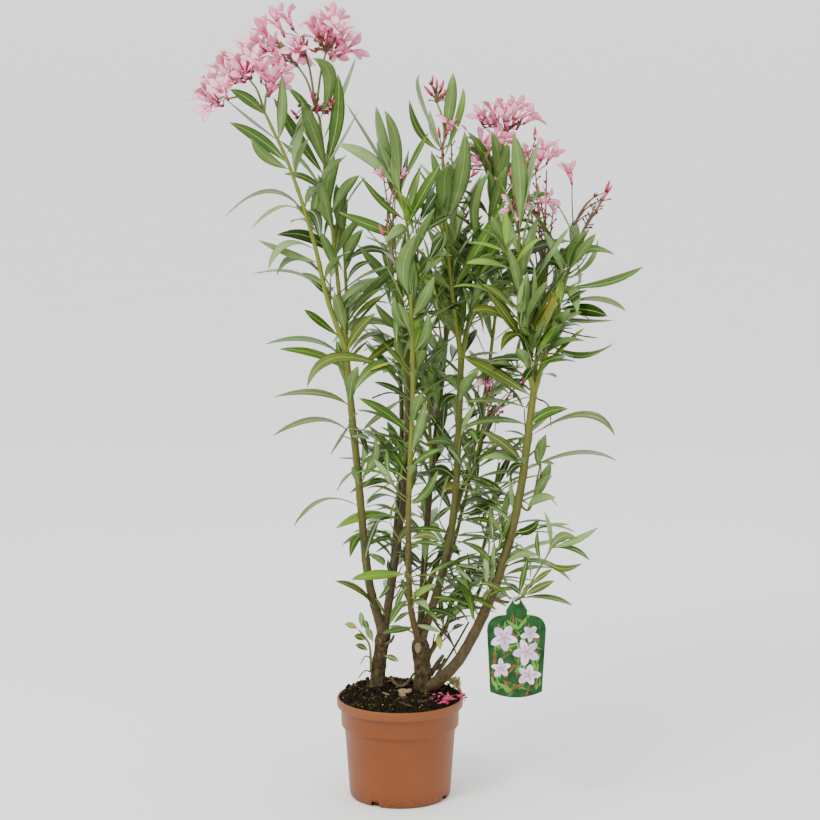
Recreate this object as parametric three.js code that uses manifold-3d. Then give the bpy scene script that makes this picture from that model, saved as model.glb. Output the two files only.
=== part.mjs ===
// Potted oleander: a clump of slender stems from two old stools in a 19 cm nursery pot,
// with lanceolate foliage along the stems, pink flower heads and a hanging plant label.
// Millimetres, +Z up, origin at the centre of the pot's flat underside, front towards -Y.
import * as THREE from "three";
import { mergeVertices } from "three/addons/utils/BufferGeometryUtils.js";
import Module from "manifold-3d";

const wasm = await Module();
wasm.setup();

// Driving dimensions
const GAP = 0.3;
const CUT_TOLERANCE = 0.05;

const POT = {
  height: 152,
  rimRadius: 95,
  lipHeight: 14,
  collarRadius: 88.5,
  collarFoot: 108,
  bodyTopRadius: 83.5,
  baseRadius: 76,
  edgeRadius: 3,
  wall: 2.2,
  floor: 3,
  sides: 32,
  notchWidth: 14,
  notchHeight: 8,
  firstNotch: -29,
  notches: 4,
};

const SOIL = { edgeHeight: 150.5, crownHeight: 161, unevenness: 1.6, rings: 4 };
const STOOL_FOOT = 149;

const LIMB = { thick: 5, thickSides: 8, thinSides: 5, stepLength: 44, leastSteps: 5, mostSteps: 8 };
const MASS = { rings: 6, columns: 8, wobble: 0.16, lobeWidth: 0.55, lobeShare: 0.45 };

// Label: its hole hangs on the label twig at the fraction hangAt; heights are from the hole's centre
const LABEL = {
  hangAt: 0.75,
  drop: 1.2,
  holeRadius: 3.6,
  topAbove: 7,
  topHalf: 7,
  hangerBelow: 12,
  hangerHalf: 17,
  shoulderBelow: 19,
  bodyBelow: 42,
  bodyHalf: 44.5,
  footBelow: 137,
  footHalf: 39.5,
  bottomSag: 9,
  thickness: 0.8,
};

// Old stools: short woody feet with a root flare, from a flat foot in the soil to their fork
const STOOLS = [
  { name: "left_stool", foot: [-35, 20], radii: [11.2, 9.8], flare: 4,
    via: [[-32, 20, 194]], tip: [-25, 16, 243] },
  { name: "right_stool", foot: [36, 0], radii: [13, 11.8], flare: 6,
    via: [[33, 0, 196]], tip: [30, 0, 233] },
];

// Stems: each starts on its parent's centreline at the fraction "from" and ends at its tip
const STEMS = [
  { name: "stem_left", parent: "left_stool", from: 1, radii: [7.3, 4.8],
    via: [[-47, 6, 330], [-61, -7, 480]], tip: [-79, -10, 677] },
  { name: "stem_left_outer", parent: "stem_left", from: 1, radii: [3.9, 2.2],
    via: [[-105, -15, 751], [-125, -25, 839], [-156, -40, 940]], tip: [-189, -54, 1016] },
  { name: "stem_left_inner", parent: "stem_left", from: 1, radii: [3.9, 2.2],
    via: [[-88, 5, 749], [-98, 15, 844]], tip: [-117, 30, 1011] },
  { name: "stem_left_back", parent: "stem_left", from: 1, radii: [3.2, 2],
    via: [[-79, 24, 748]], tip: [-86, 54, 882] },
  { name: "stem_middle_rear", parent: "left_stool", from: 1, radii: [5.9, 3.2],
    via: [[-11, 30, 323], [7, 52, 470], [11, 60, 640]], tip: [-4, 58, 800] },
  { name: "stem_middle_front", parent: "right_stool", from: 0.84, radii: [5.2, 2.8],
    via: [[15, -30, 307], [13, -57, 450], [19, -74, 620]], tip: [16, -80, 765] },
  { name: "stem_middle_side", parent: "stem_middle_front", from: 0.74, radii: [2.6, 1.8],
    via: [[18, -52, 740], [12, -38, 850]], tip: [-5, -34, 925] },
  { name: "stem_centre_rear", parent: "right_stool", from: 1, radii: [5.8, 3.2],
    via: [[36, 48, 334], [47, 80, 470], [66, 104, 640]], tip: [82, 120, 850] },
  { name: "stem_centre_fork", parent: "stem_centre_rear", from: 0.52, radii: [2.8, 1.8],
    via: [[40, 92, 640]], tip: [30, 100, 760] },
  { name: "stem_centre_front", parent: "right_stool", from: 1, radii: [6.7, 4.6],
    via: [[60, -20, 335], [81, -20, 450]], tip: [90, -20, 665] },
  { name: "stem_centre_left", parent: "stem_centre_front", from: 1, radii: [3.6, 2.2],
    via: [[76, -10, 765]], tip: [64, 16, 900] },
  { name: "stem_centre_right", parent: "stem_centre_front", from: 1, radii: [3.6, 2.2],
    via: [[111, 20, 763], [139, 54, 890]], tip: [156, 72, 990] },
  { name: "stem_right_thin", parent: "stem_centre_front", from: 0.12, radii: [3.4, 1.8],
    via: [[77, 16, 370], [100, -12, 470]], tip: [122, -40, 566] },
  { name: "stem_right_rear", parent: "right_stool", from: 0.5, radii: [3.6, 2.2],
    via: [[75, 30, 262], [118, 42, 340]], tip: [150, 48, 500] },
  { name: "stem_right", parent: "right_stool", from: 0.14, radii: [10.2, 5.2],
    via: [[62, -18, 184], [96, -40, 232], [138, -66, 332], [172, -70, 460]], tip: [194, -60, 622] },
  { name: "stem_right_left", parent: "stem_right", from: 1, radii: [4, 2.3],
    via: [[180, -76, 690]], tip: [169, -94, 850] },
  { name: "stem_right_middle", parent: "stem_right", from: 1, radii: [3.4, 2],
    via: [[203, -20, 697]], tip: [222, 42, 820] },
  { name: "stem_right_outer", parent: "stem_right", from: 1, radii: [4, 2.3],
    via: [[216, -54, 692], [238, -42, 776]], tip: [256, -30, 836] },
  { name: "label_twig", parent: "stem_right", from: 0.575, radii: [2.6, 1.6],
    via: [[160, -76, 314]], tip: [178, -122, 334] },
  { name: "stem_back", parent: "left_stool", from: 0.8, radii: [4.8, 2.6],
    via: [[-8, 80, 380], [2, 128, 560]], tip: [-14, 156, 800] },
  { name: "stem_back_right", parent: "stem_centre_rear", from: 0.14, radii: [4.2, 2.4],
    via: [[92, 92, 440], [128, 128, 580]], tip: [150, 150, 740] },
];

// Masses: centre, half sizes, and the furthest leaf or petal tips that each one reaches
const FOLIAGE = [
  { name: "foliage_left_low", at: [-72, -6, 400], half: [36, 36, 58],
    reach: [[-152, -34, 427], [-95, -70, 335], [-4, -2, 440]] },
  { name: "foliage_left_middle", at: [-88, -8, 560], half: [50, 42, 72],
    reach: [[-183, -30, 610], [-182, 10, 552], [-140, 40, 500], [-60, -125, 588]] },
  { name: "foliage_left_upper", at: [-108, -6, 762], half: [62, 44, 92],
    reach: [[-251, -40, 873], [-205, 20, 788], [-196, -40, 690], [-120, -130, 800]] },
  { name: "foliage_left_crown", at: [-124, -8, 940], half: [52, 42, 66],
    reach: [[-240, -60, 1008], [-64, 40, 1090], [-66, 60, 871]] },
  { name: "flowers_left", at: [-236, -52, 1072], half: [44, 42, 32],
    reach: [[-296, -56, 1047], [-184, -52, 1010], [-230, -104, 1074]] },
  { name: "flowers_crown", at: [-130, 22, 1122], half: [52, 46, 34],
    reach: [[-160, 22, 1172], [-64, 40, 1120], [-116, 30, 1002], [-134, 76, 1120]] },
  { name: "foliage_middle_low", at: [-4, -14, 376], half: [34, 40, 64],
    reach: [[-84, -62, 433], [-70, -34, 306], [38, -96, 461]] },
  { name: "foliage_middle", at: [2, -6, 520], half: [42, 74, 56],
    reach: [[-78, -74, 610], [-70, -60, 507], [50, -165, 575]] },
  { name: "foliage_middle_upper", at: [2, -16, 680], half: [44, 76, 78],
    reach: [[-72, 34, 690], [-64, -96, 628], [30, -190, 705]] },
  { name: "foliage_middle_crown", at: [-8, 30, 880], half: [46, 60, 78],
    reach: [[-32, 62, 1029], [-78, 44, 953], [37, 60, 1000]] },
  { name: "foliage_centre_low", at: [68, 8, 384], half: [34, 44, 66],
    reach: [[146, -20, 310], [0, 96, 392]] },
  { name: "foliage_centre_middle", at: [74, 16, 530], half: [42, 70, 58],
    reach: [[142, -92, 556], [136, 74, 480]] },
  { name: "foliage_centre_upper", at: [78, 34, 690], half: [46, 76, 82],
    reach: [[160, -70, 690], [40, -100, 640]] },
  { name: "foliage_centre_crown", at: [62, 92, 900], half: [48, 46, 84],
    reach: [[79, 112, 1085], [20, 100, 1045], [108, 122, 1041]] },
  { name: "foliage_front_crown", at: [118, 26, 860], half: [42, 42, 76],
    reach: [[163, 70, 990], [140, -40, 930]] },
  { name: "flowers_right", at: [166, 62, 1022], half: [44, 42, 30],
    reach: [[212, 60, 1050], [112, 40, 1033], [226, 52, 967], [166, 112, 1020]] },
  { name: "foliage_right_low", at: [154, -58, 418], half: [48, 42, 58],
    reach: [[251, -90, 311], [294, -60, 418], [110, -170, 432], [280, 10, 390]] },
  { name: "foliage_right_middle", at: [194, -56, 560], half: [48, 42, 62],
    reach: [[308, -66, 566], [136, -124, 575], [272, 20, 520]] },
  { name: "foliage_right_upper", at: [228, -36, 716], half: [56, 48, 70],
    reach: [[353, -40, 799], [310, -76, 694], [320, 30, 735], [176, -128, 712]] },
  { name: "foliage_right_rear", at: [218, 34, 776], half: [32, 34, 52],
    reach: [[262, 100, 830], [232, 50, 872], [270, -4, 800]] },
  { name: "foliage_right_crown", at: [180, -78, 880], half: [42, 40, 72],
    reach: [[160, -98, 992], [202, -62, 988], [128, -112, 960]] },
  { name: "buds_right", at: [272, -20, 880], half: [18, 18, 26],
    reach: [[303, -20, 918], [246, -30, 940], [257, -30, 830]] },
  { name: "foliage_back_low", at: [0, 112, 470], half: [52, 38, 78],
    reach: [[-90, 150, 500], [30, 196, 440]] },
  { name: "foliage_back_middle", at: [-8, 146, 660], half: [54, 36, 80],
    reach: [[-110, 170, 700], [40, 226, 690]] },
  { name: "foliage_back_crown", at: [-14, 160, 850], half: [46, 36, 76],
    reach: [[-30, 170, 970], [-86, 190, 860], [30, 214, 880]] },
  { name: "foliage_back_right", at: [142, 142, 620], half: [50, 40, 92],
    reach: [[232, 150, 640], [150, 222, 650], [160, 160, 830]] },
];

// Colours from the photograph
const COLOURS = {
  terracotta: 0xb0694a,
  soil: 0x2b2620,
  bark: 0x6f6140,
  greenStem: 0x8f9a4a,
  leaf: 0x5f8a3c,
  petal: 0xeda6c6,
  bud: 0xb83a5c,
  card: 0xf2f2ee,
};

const object = new THREE.Group();

function addPart(name, geometry, colour, roughness = 0.8) {
  geometry.computeVertexNormals();
  const material = new THREE.MeshStandardMaterial({ color: colour, roughness, metalness: 0 });
  const mesh = new THREE.Mesh(geometry, material);
  mesh.name = name;
  object.add(mesh);
}

// Closed meshes and solids
function skin(rings, first, last) {
  const count = rings[0].length;
  const points = [first, ...rings.flat(), last];
  const end = points.length - 1;
  const index = [];
  const at = (ring, k) => 1 + ring * count + (k % count);
  for (let k = 0; k < count; k += 1) {
    index.push(0, at(0, k + 1), at(0, k));
    index.push(end, at(rings.length - 1, k), at(rings.length - 1, k + 1));
    for (let ring = 0; ring + 1 < rings.length; ring += 1) {
      index.push(at(ring, k), at(ring, k + 1), at(ring + 1, k + 1));
      index.push(at(ring, k), at(ring + 1, k + 1), at(ring + 1, k));
    }
  }
  const geometry = new THREE.BufferGeometry();
  geometry.setAttribute("position", new THREE.Float32BufferAttribute(points.flatMap((p) => p.toArray()), 3));
  geometry.setIndex(index);
  return geometry;
}

function toSolid(geometry) {
  const bare = geometry.clone();
  bare.deleteAttribute("normal");
  bare.deleteAttribute("uv");
  const merged = mergeVertices(bare, 1e-4);
  return new wasm.Manifold(new wasm.Mesh({
    numProp: 3,
    vertProperties: new Float32Array(merged.attributes.position.array),
    triVerts: new Uint32Array(merged.index.array),
  }));
}

function toGeometry(solid) {
  const { vertProperties, triVerts, numProp } = solid.getMesh();
  const corners = new Float32Array((vertProperties.length / numProp) * 3);
  for (let v = 0; v * numProp < vertProperties.length; v += 1) {
    for (let axis = 0; axis < 3; axis += 1) corners[3 * v + axis] = vertProperties[v * numProp + axis];
  }
  const geometry = new THREE.BufferGeometry();
  geometry.setAttribute("position", new THREE.BufferAttribute(corners, 3));
  geometry.setIndex([...triVerts]);
  return geometry;
}

function boxesMeet(a, b) {
  const p = a.boundingBox();
  const q = b.boundingBox();
  return [0, 1, 2].every((axis) => p.min[axis] <= q.max[axis] && q.min[axis] <= p.max[axis]);
}

// The largest body left after cutting the solid back from its neighbours
function cutBack(solid, neighbours) {
  let left = solid;
  for (const other of neighbours) {
    if (boxesMeet(left, other)) left = left.subtract(other);
  }
  const bodies = left.simplify(CUT_TOLERANCE).decompose();
  return bodies.reduce((best, body) => (body.volume() > best.volume() ? body : best));
}

// Pot
function wallRadius(z) {
  if (z >= POT.height - POT.lipHeight) return POT.rimRadius - POT.wall - 1.6;
  if (z >= POT.collarFoot) return POT.collarRadius - POT.wall;
  return THREE.MathUtils.mapLinear(z, 0, POT.collarFoot, POT.baseRadius, POT.bodyTopRadius) - POT.wall;
}

function makePot() {
  const lipFoot = POT.height - POT.lipHeight;
  const outline = [[0, 0], [POT.baseRadius - POT.edgeRadius, 0], [POT.baseRadius, POT.edgeRadius],
    [POT.bodyTopRadius, POT.collarFoot - 1], [POT.collarRadius - 1.5, POT.collarFoot + 1],
    [POT.collarRadius, lipFoot - 1], [POT.rimRadius - 1, lipFoot + 1], [POT.rimRadius, lipFoot + 3],
    [POT.rimRadius, POT.height - 2], [POT.rimRadius - 1, POT.height],
    [wallRadius(POT.height) + 0.6, POT.height], [wallRadius(POT.height), POT.height - 2],
    [wallRadius(lipFoot) - 0.4, lipFoot + 4], [wallRadius(lipFoot - 1), lipFoot],
    [wallRadius(POT.collarFoot), POT.collarFoot + 3], [wallRadius(POT.collarFoot - 1), POT.collarFoot - 2],
    [wallRadius(POT.floor), POT.floor], [0, POT.floor]];
  const profile = outline.map(([x, y]) => new THREE.Vector2(x, y));
  const shell = new THREE.LatheGeometry(profile, POT.sides).rotateX(Math.PI / 2);
  const notch = new THREE.BoxGeometry(POT.notchWidth, 6 * POT.wall, 2 * POT.notchHeight);
  const notches = [];
  for (let k = 0; k < POT.notches; k += 1) {
    const turn = THREE.MathUtils.degToRad(POT.firstNotch + (360 / POT.notches) * k);
    const placed = notch.clone().translate(0, -POT.baseRadius, 0).rotateZ(turn);
    notches.push(toSolid(placed));
  }
  return cutBack(toSolid(shell), notches);
}

// Soil, mounded towards the stools and cut back round their feet
function soilHeight(x, y) {
  const spread = Math.min(1, Math.hypot(x, y) / wallRadius(POT.height));
  const mound = SOIL.edgeHeight + (SOIL.crownHeight - SOIL.edgeHeight) * (1 - spread * spread);
  return mound + SOIL.unevenness * (Math.sin(x / 9 + 1) * Math.cos(y / 8) + 0.5 * Math.sin(x / 4 - y / 5));
}

function makeSoil(feet) {
  const columns = POT.sides;
  const ring = (radius, height) => Array.from({ length: columns }, (_, k) => {
    const turn = (2 * Math.PI * k) / columns;
    const x = radius * Math.cos(turn);
    const y = radius * Math.sin(turn);
    return new THREE.Vector3(x, y, height ?? soilHeight(x, y));
  });
  const floor = POT.floor + GAP;
  const notchTop = POT.notchHeight + GAP;
  const lipFoot = POT.height - POT.lipHeight;
  const rings = [
    ring(POT.baseRadius - 4 * POT.wall - GAP, floor),
    ring(POT.baseRadius - 4 * POT.wall - GAP, notchTop),
    ring(wallRadius(notchTop) - 2 * GAP, notchTop),
    ring(wallRadius(POT.collarFoot - 1) - 2 * GAP, POT.collarFoot - 2),
    ring(wallRadius(POT.collarFoot) - 2 * GAP, POT.collarFoot + 4),
    ring(wallRadius(lipFoot - 1) - 2 * GAP, lipFoot),
    ring(wallRadius(lipFoot) - 2 * GAP - 2, lipFoot + 4),
  ];
  for (let step = SOIL.rings; step > 0; step -= 1) {
    rings.push(ring((wallRadius(POT.height) - 2 * GAP - 2) * (step / SOIL.rings)));
  }
  const middle = new THREE.Vector3(0, 0, soilHeight(0, 0));
  const body = skin(rings, new THREE.Vector3(0, 0, floor), middle);
  return cutBack(toSolid(body), feet);
}

// Limbs: tapering round tubes along a smooth curve, closed flat at both ends
function limbCurve(points) {
  const corners = points.map((p) => new THREE.Vector3(...p));
  return new THREE.CatmullRomCurve3(corners, false, "catmullrom", 0.5);
}

function limbSolid(limb, margin = 0) {
  const { curve, radii, flare = 0 } = limb;
  const wanted = Math.round(curve.getLength() / LIMB.stepLength);
  const steps = THREE.MathUtils.clamp(wanted, LIMB.leastSteps, LIMB.mostSteps);
  const sides = radii[0] > LIMB.thick ? LIMB.thickSides : LIMB.thinSides;
  const rings = [];
  const ends = [];
  for (let step = 0; step <= steps; step += 1) {
    const along = step / steps;
    const centre = curve.getPoint(along);
    const ahead = curve.getTangent(along);
    if (flare && step === 0) ahead.set(0, 0, 1);
    if (step === 0) centre.addScaledVector(ahead, -margin);
    if (step === steps) centre.addScaledVector(ahead, margin);
    const side = new THREE.Vector3(0, 1, 0).cross(ahead).normalize();
    const front = ahead.clone().cross(side);
    const taper = THREE.MathUtils.lerp(radii[0], radii[1], along);
    const radius = taper + flare * Math.exp(-7 * along) + margin;
    rings.push(Array.from({ length: sides }, (_, k) => {
      const turn = (2 * Math.PI * k) / sides;
      return centre.clone()
        .addScaledVector(side, radius * Math.cos(turn))
        .addScaledVector(front, radius * Math.sin(turn));
    }));
    if (step === 0 || step === steps) ends.push(centre);
  }
  return toSolid(skin(rings, ends[0], ends[1]));
}

const limbs = new Map();
for (const stool of STOOLS) {
  const foot = [...stool.foot, STOOL_FOOT];
  limbs.set(stool.name, { ...stool, curve: limbCurve([foot, ...stool.via, stool.tip]) });
}
for (const stem of STEMS) {
  const start = limbs.get(stem.parent).curve.getPoint(stem.from).toArray();
  limbs.set(stem.name, { ...stem, curve: limbCurve([start, ...stem.via, stem.tip]) });
}

// Foliage and flower masses: uneven closed lumps with a lobe towards each tip they reach
function noise(direction, seed) {
  const { x, y, z } = direction;
  const broad = Math.sin(3.1 * x + seed) * Math.cos(2.7 * y - 1.3 * seed);
  return broad + 0.6 * Math.sin(4.3 * z + 2.1 * seed + x);
}

function massSolid({ at, half, reach }, seed, margin = 0) {
  const centre = new THREE.Vector3(...at);
  const tips = reach.map((tip) => new THREE.Vector3(...tip).sub(centre));
  const share = (direction) => half.map((size, axis) => direction.getComponent(axis) / size);
  const reachOf = (direction) => 1 / Math.hypot(...share(direction));
  const radiusTo = (direction) => {
    let radius = reachOf(direction) * (1 + MASS.wobble * noise(direction, seed));
    for (const tip of tips) {
      const angle = direction.angleTo(tip) / MASS.lobeWidth;
      const stretch = Math.max(0, tip.length() - reachOf(tip.clone().normalize()));
      radius += MASS.lobeShare * stretch * Math.exp(-angle * angle);
    }
    return radius;
  };
  const pointTo = (direction) => direction.clone().multiplyScalar(radiusTo(direction) + margin);
  const rings = [];
  for (let ring = 1; ring < MASS.rings; ring += 1) {
    const polar = (Math.PI * ring) / MASS.rings;
    rings.push(Array.from({ length: MASS.columns }, (_, k) => {
      const turn = (2 * Math.PI * (k + 0.5 * (ring % 2))) / MASS.columns;
      const flat = Math.sin(polar);
      return pointTo(new THREE.Vector3(flat * Math.cos(turn), flat * Math.sin(turn), -Math.cos(polar)));
    }));
  }
  const low = pointTo(new THREE.Vector3(0, 0, -1));
  const high = pointTo(new THREE.Vector3(0, 0, 1));
  const corners = [low, ...rings.flat(), high];
  for (const tip of tips) {
    const nearest = corners.reduce((best, c) => (c.angleTo(tip) < best.angleTo(tip) ? c : best));
    nearest.copy(tip).setLength(tip.length() + margin);
  }
  for (const corner of corners) corner.add(centre);
  return toSolid(skin(rings, low, high));
}

// Plant label: a thin card with a narrow neck, a curved foot and a hanging hole
function makeLabel(twig) {
  const { topAbove, topHalf, hangerBelow, hangerHalf, shoulderBelow, bodyBelow } = LABEL;
  const { bodyHalf, footBelow, footHalf, bottomSag } = LABEL;
  const card = new THREE.Shape();
  card.moveTo(-topHalf + 3, topAbove);
  card.quadraticCurveTo(-topHalf, topAbove, -topHalf, topAbove - 3);
  card.lineTo(-hangerHalf, -hangerBelow);
  card.lineTo(-hangerHalf, -shoulderBelow);
  card.quadraticCurveTo(-bodyHalf, -shoulderBelow, -bodyHalf, -bodyBelow);
  card.lineTo(-footHalf, -footBelow);
  card.quadraticCurveTo(0, -footBelow - 2 * bottomSag, footHalf, -footBelow);
  card.lineTo(bodyHalf, -bodyBelow);
  card.quadraticCurveTo(bodyHalf, -shoulderBelow, hangerHalf, -shoulderBelow);
  card.lineTo(hangerHalf, -hangerBelow);
  card.lineTo(topHalf, topAbove - 3);
  card.quadraticCurveTo(topHalf, topAbove, topHalf - 3, topAbove);
  card.closePath();
  card.holes.push(new THREE.Path().absarc(0, 0, LABEL.holeRadius, 0, 2 * Math.PI, true));
  const sheet = { depth: LABEL.thickness, bevelEnabled: false, curveSegments: 5 };
  const body = new THREE.ExtrudeGeometry(card, sheet);
  const { x, y, z } = twig.curve.getPoint(LABEL.hangAt);
  return body.rotateX(Math.PI / 2).translate(x, y, z - LABEL.drop);
}

const potSolid = makePot();
const stoolSolids = STOOLS.map(({ name }) => limbSolid(limbs.get(name)));
const feet = STOOLS.map(({ name }) => limbSolid(limbs.get(name), GAP));

addPart("pot", toGeometry(potSolid), COLOURS.terracotta, 0.55);
addPart("potting_soil", toGeometry(makeSoil(feet)), COLOURS.soil, 1);
STOOLS.forEach(({ name }, k) => addPart(name, toGeometry(stoolSolids[k]), COLOURS.bark));

const taken = [...feet];
for (const stem of STEMS) {
  const limb = limbs.get(stem.name);
  const solid = cutBack(limbSolid(limb), taken);
  taken.push(limbSolid(limb, GAP));
  addPart(stem.name, toGeometry(solid), stem.radii[0] > 4 ? COLOURS.bark : COLOURS.greenStem);
}

const label = toSolid(makeLabel(limbs.get("label_twig")));
taken.push(label);
addPart("plant_label", toGeometry(label), COLOURS.card, 0.4);

FOLIAGE.forEach((mass, seed) => {
  const solid = cutBack(massSolid(mass, seed), taken);
  taken.push(massSolid(mass, seed, GAP));
  const blossom = mass.name.startsWith("flowers") ? COLOURS.petal : COLOURS.leaf;
  addPart(mass.name, toGeometry(solid), mass.name.startsWith("buds") ? COLOURS.bud : blossom);
});

export default object;
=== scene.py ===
"""Looks of the potted oleander: bark, whorled leaves, flower heads, pot, soil and label.

Metres, +Z up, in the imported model's frame. The stems repeat the construction's own centrelines.
"""
import math
import random

import bpy
from mathutils import Matrix, Vector, noise
from mathutils.geometry import tessellate_polygon


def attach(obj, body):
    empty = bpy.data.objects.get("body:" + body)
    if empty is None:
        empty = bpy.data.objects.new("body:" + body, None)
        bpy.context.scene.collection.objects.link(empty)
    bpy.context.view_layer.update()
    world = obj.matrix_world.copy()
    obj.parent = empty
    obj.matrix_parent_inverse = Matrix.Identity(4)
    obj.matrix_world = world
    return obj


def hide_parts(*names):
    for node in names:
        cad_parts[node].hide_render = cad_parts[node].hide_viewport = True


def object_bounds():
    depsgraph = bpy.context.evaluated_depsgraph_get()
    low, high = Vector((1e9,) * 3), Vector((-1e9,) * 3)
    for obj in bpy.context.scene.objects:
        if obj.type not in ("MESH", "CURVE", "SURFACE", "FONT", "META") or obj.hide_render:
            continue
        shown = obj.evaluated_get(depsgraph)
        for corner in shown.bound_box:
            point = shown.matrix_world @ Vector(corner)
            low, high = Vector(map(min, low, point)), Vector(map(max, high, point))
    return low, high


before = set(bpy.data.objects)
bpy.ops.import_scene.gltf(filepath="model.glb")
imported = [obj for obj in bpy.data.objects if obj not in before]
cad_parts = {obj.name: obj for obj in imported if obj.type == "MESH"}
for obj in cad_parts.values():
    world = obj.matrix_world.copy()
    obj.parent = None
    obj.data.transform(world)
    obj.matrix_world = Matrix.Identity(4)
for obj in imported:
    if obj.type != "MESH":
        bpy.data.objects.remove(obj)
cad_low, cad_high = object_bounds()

MM = 0.001
SEED = 1907
UP = Vector((0, 0, 1))
DOWN = Vector((0, 0, -1))
rng = random.Random(SEED)

# Camera, fitted to the photograph's frame of 820 by 820 pixels, each of which spans 1.45 mm at the plant
CAMERA_AT = (0.015, -3.004, 1.009)
CAMERA_PITCH = 8.0
FOCAL_PIXELS = 2053.0
FRAME_PIXELS = 820.0
SENSOR = 36.0
MM_PER_PIXEL = 1.45

# Room that leaves and petals may fill beyond the construction's box
OVERHANG = 0.012

# Share of the seeded leaves left out on the near side, where the leaves are placed one by one
NEAR_SIDE_BARE = 0.45

# The whorls' spacing and the number of side shoots, against the table's
CLOSER = 0.78
MORE_SHOOTS = 1.6

# Marked leaf widths are widened, more for the broad leaves of the crown: over this height and width (m)
CROWN_HEIGHT, CROWN_BROAD = 0.72, 0.0115
CROWN_WIDER, WIDER = 1.3, 1.12
LEAF_BROADEST, LEAF_NARROWEST = 0.0215, 0.008


class Pile:
    """Vertices and faces gathered for one joined piece."""

    def __init__(self):
        self.points = []
        self.faces = []
        self.kinds = []

    def add(self, points, faces, kinds):
        start = len(self.points)
        self.points.extend(points)
        self.faces.extend(tuple(start + v for v in face) for face in faces)
        self.kinds.extend(kinds)

    def rings(self, rings, kinds, first=None, last=None):
        """A closed skin over rings of equal count. kinds gives the material of each column."""
        count = len(rings[0])
        points = [p for ring in rings for p in ring]
        faces = []
        used = []
        for row in range(len(rings) - 1):
            for k in range(count):
                after = (k + 1) % count
                a, b = row * count + k, row * count + after
                faces.append((a, b, b + count, a + count))
                used.append(kinds[k])
        for end, row in ((first, 0), (last, len(rings) - 1)):
            if end is None:
                continue
            points.append(end)
            tip = len(points) - 1
            for k in range(count):
                a, b = row * count + k, row * count + (k + 1) % count
                faces.append((tip, b, a) if row == 0 else (tip, a, b))
                used.append(kinds[k])
        self.add(points, faces, used)

    def piece(self, name, materials, smooth=True):
        mesh = bpy.data.meshes.new(name)
        mesh.from_pydata([tuple(p) for p in self.points], [], self.faces)
        mesh.polygons.foreach_set("material_index", self.kinds)
        mesh.polygons.foreach_set("use_smooth", [smooth] * len(self.faces))
        for material in materials:
            mesh.materials.append(material)
        mesh.update()
        piece = bpy.data.objects.new(name, mesh)
        bpy.context.scene.collection.objects.link(piece)
        return piece


def claim(piece, nodes=()):
    """The piece rides on the one body and stands for nodes, which are hidden."""
    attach(piece, "root")
    if nodes:
        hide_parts(*nodes)


def mm(place):
    """A place in millimetres as a point in metres."""
    return Vector(place) * MM


def metres(points):
    return [mm(p) for p in points]


# Curves and frames
def curve_point(points, along):
    """Uniform Catmull-Rom through the points, the same curve that the construction's limbs follow."""
    last = len(points) - 1
    place = min(max(along, 0.0), 1.0) * last
    k = min(int(place), last - 1)
    w = place - k
    p1, p2 = points[k], points[k + 1]
    p0 = points[k - 1] if k > 0 else 2 * p1 - p2
    p3 = points[k + 2] if k + 2 <= last else 2 * p2 - p1
    t1, t2 = 0.5 * (p2 - p0), 0.5 * (p3 - p1)
    return (p1 * (2 * w ** 3 - 3 * w ** 2 + 1) + p2 * (3 * w ** 2 - 2 * w ** 3)
            + t1 * (w ** 3 - 2 * w ** 2 + w) + t2 * (w ** 3 - w ** 2))


def curve_heading(points, along):
    step = 0.004
    ahead = curve_point(points, min(along + step, 1)) - curve_point(points, max(along - step, 0))
    return ahead.normalized()


def sampled(points, rows):
    """The curve through the points, in equal steps."""
    return [curve_point(points, k / rows) for k in range(rows + 1)]


def curve_length(points):
    route = sampled(points, 40)
    return sum((b - a).length for a, b in zip(route, route[1:]))


def spoke(heading, turn):
    """The direction square to the heading, at an angle round it."""
    helper = Vector((0, 1, 0)) if abs(heading.y) < 0.9 else Vector((1, 0, 0))
    side = helper.cross(heading).normalized()
    return side * math.cos(turn) + heading.cross(side) * math.sin(turn)


def spokes(heading, count):
    """Directions square to the heading, in even steps round it."""
    return [spoke(heading, math.tau * k / count) for k in range(count)]


def tube(pile, route, radii, sides, kind=0, relief=None):
    """A round limb along route, with a radius at each point, rounded off at its end."""
    rings = []
    for k, (centre, radius) in enumerate(zip(route, radii)):
        before, after = route[max(k - 1, 0)], route[min(k + 1, len(route) - 1)]
        outs = spokes((after - before).normalized(), sides)
        rings.append([centre + out * (radius + (relief(centre, out, k) if relief else 0)) for out in outs])
    heading = (route[-1] - route[-2]).normalized()
    pile.rings(rings, [kind] * sides, route[0], route[-1] + heading * radii[-1] * 0.6)


def taper(pile, points, rows, first, last, sides, relief=None):
    """A limb along the curve through the points, its radius going from first to last."""
    radii = [first + (last - first) * k / rows for k in range(rows + 1)]
    tube(pile, sampled(points, rows), radii, sides, relief=relief)


def turned(direction, axis, angle):
    return Matrix.Rotation(angle, 3, axis) @ direction


# Materials
def add_node(owner, kind, settings=None, feeds=None):
    """A shader node of a material or world, with its sockets set and fed."""
    tree = owner.node_tree
    node = tree.nodes.new("ShaderNode" + kind)
    for socket, value in (settings or {}).items():
        node.inputs[socket].default_value = value
    for socket, source in (feeds or {}).items():
        tree.links.new(source, node.inputs[socket])
    return node


def height_output(owner, space):
    """The height above the ground, or the sky's rise, by the name of the coordinates."""
    where = add_node(owner, "TexCoord").outputs[space]
    return add_node(owner, "SeparateXYZ", feeds={"Vector": where}).outputs["Z"]


def noise_output(material, scale, detail):
    where = add_node(material, "TexCoord").outputs["Object"]
    cloud = add_node(material, "TexNoise", {"Scale": scale, "Detail": detail}, {"Vector": where})
    return cloud.outputs["Fac"]


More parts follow.
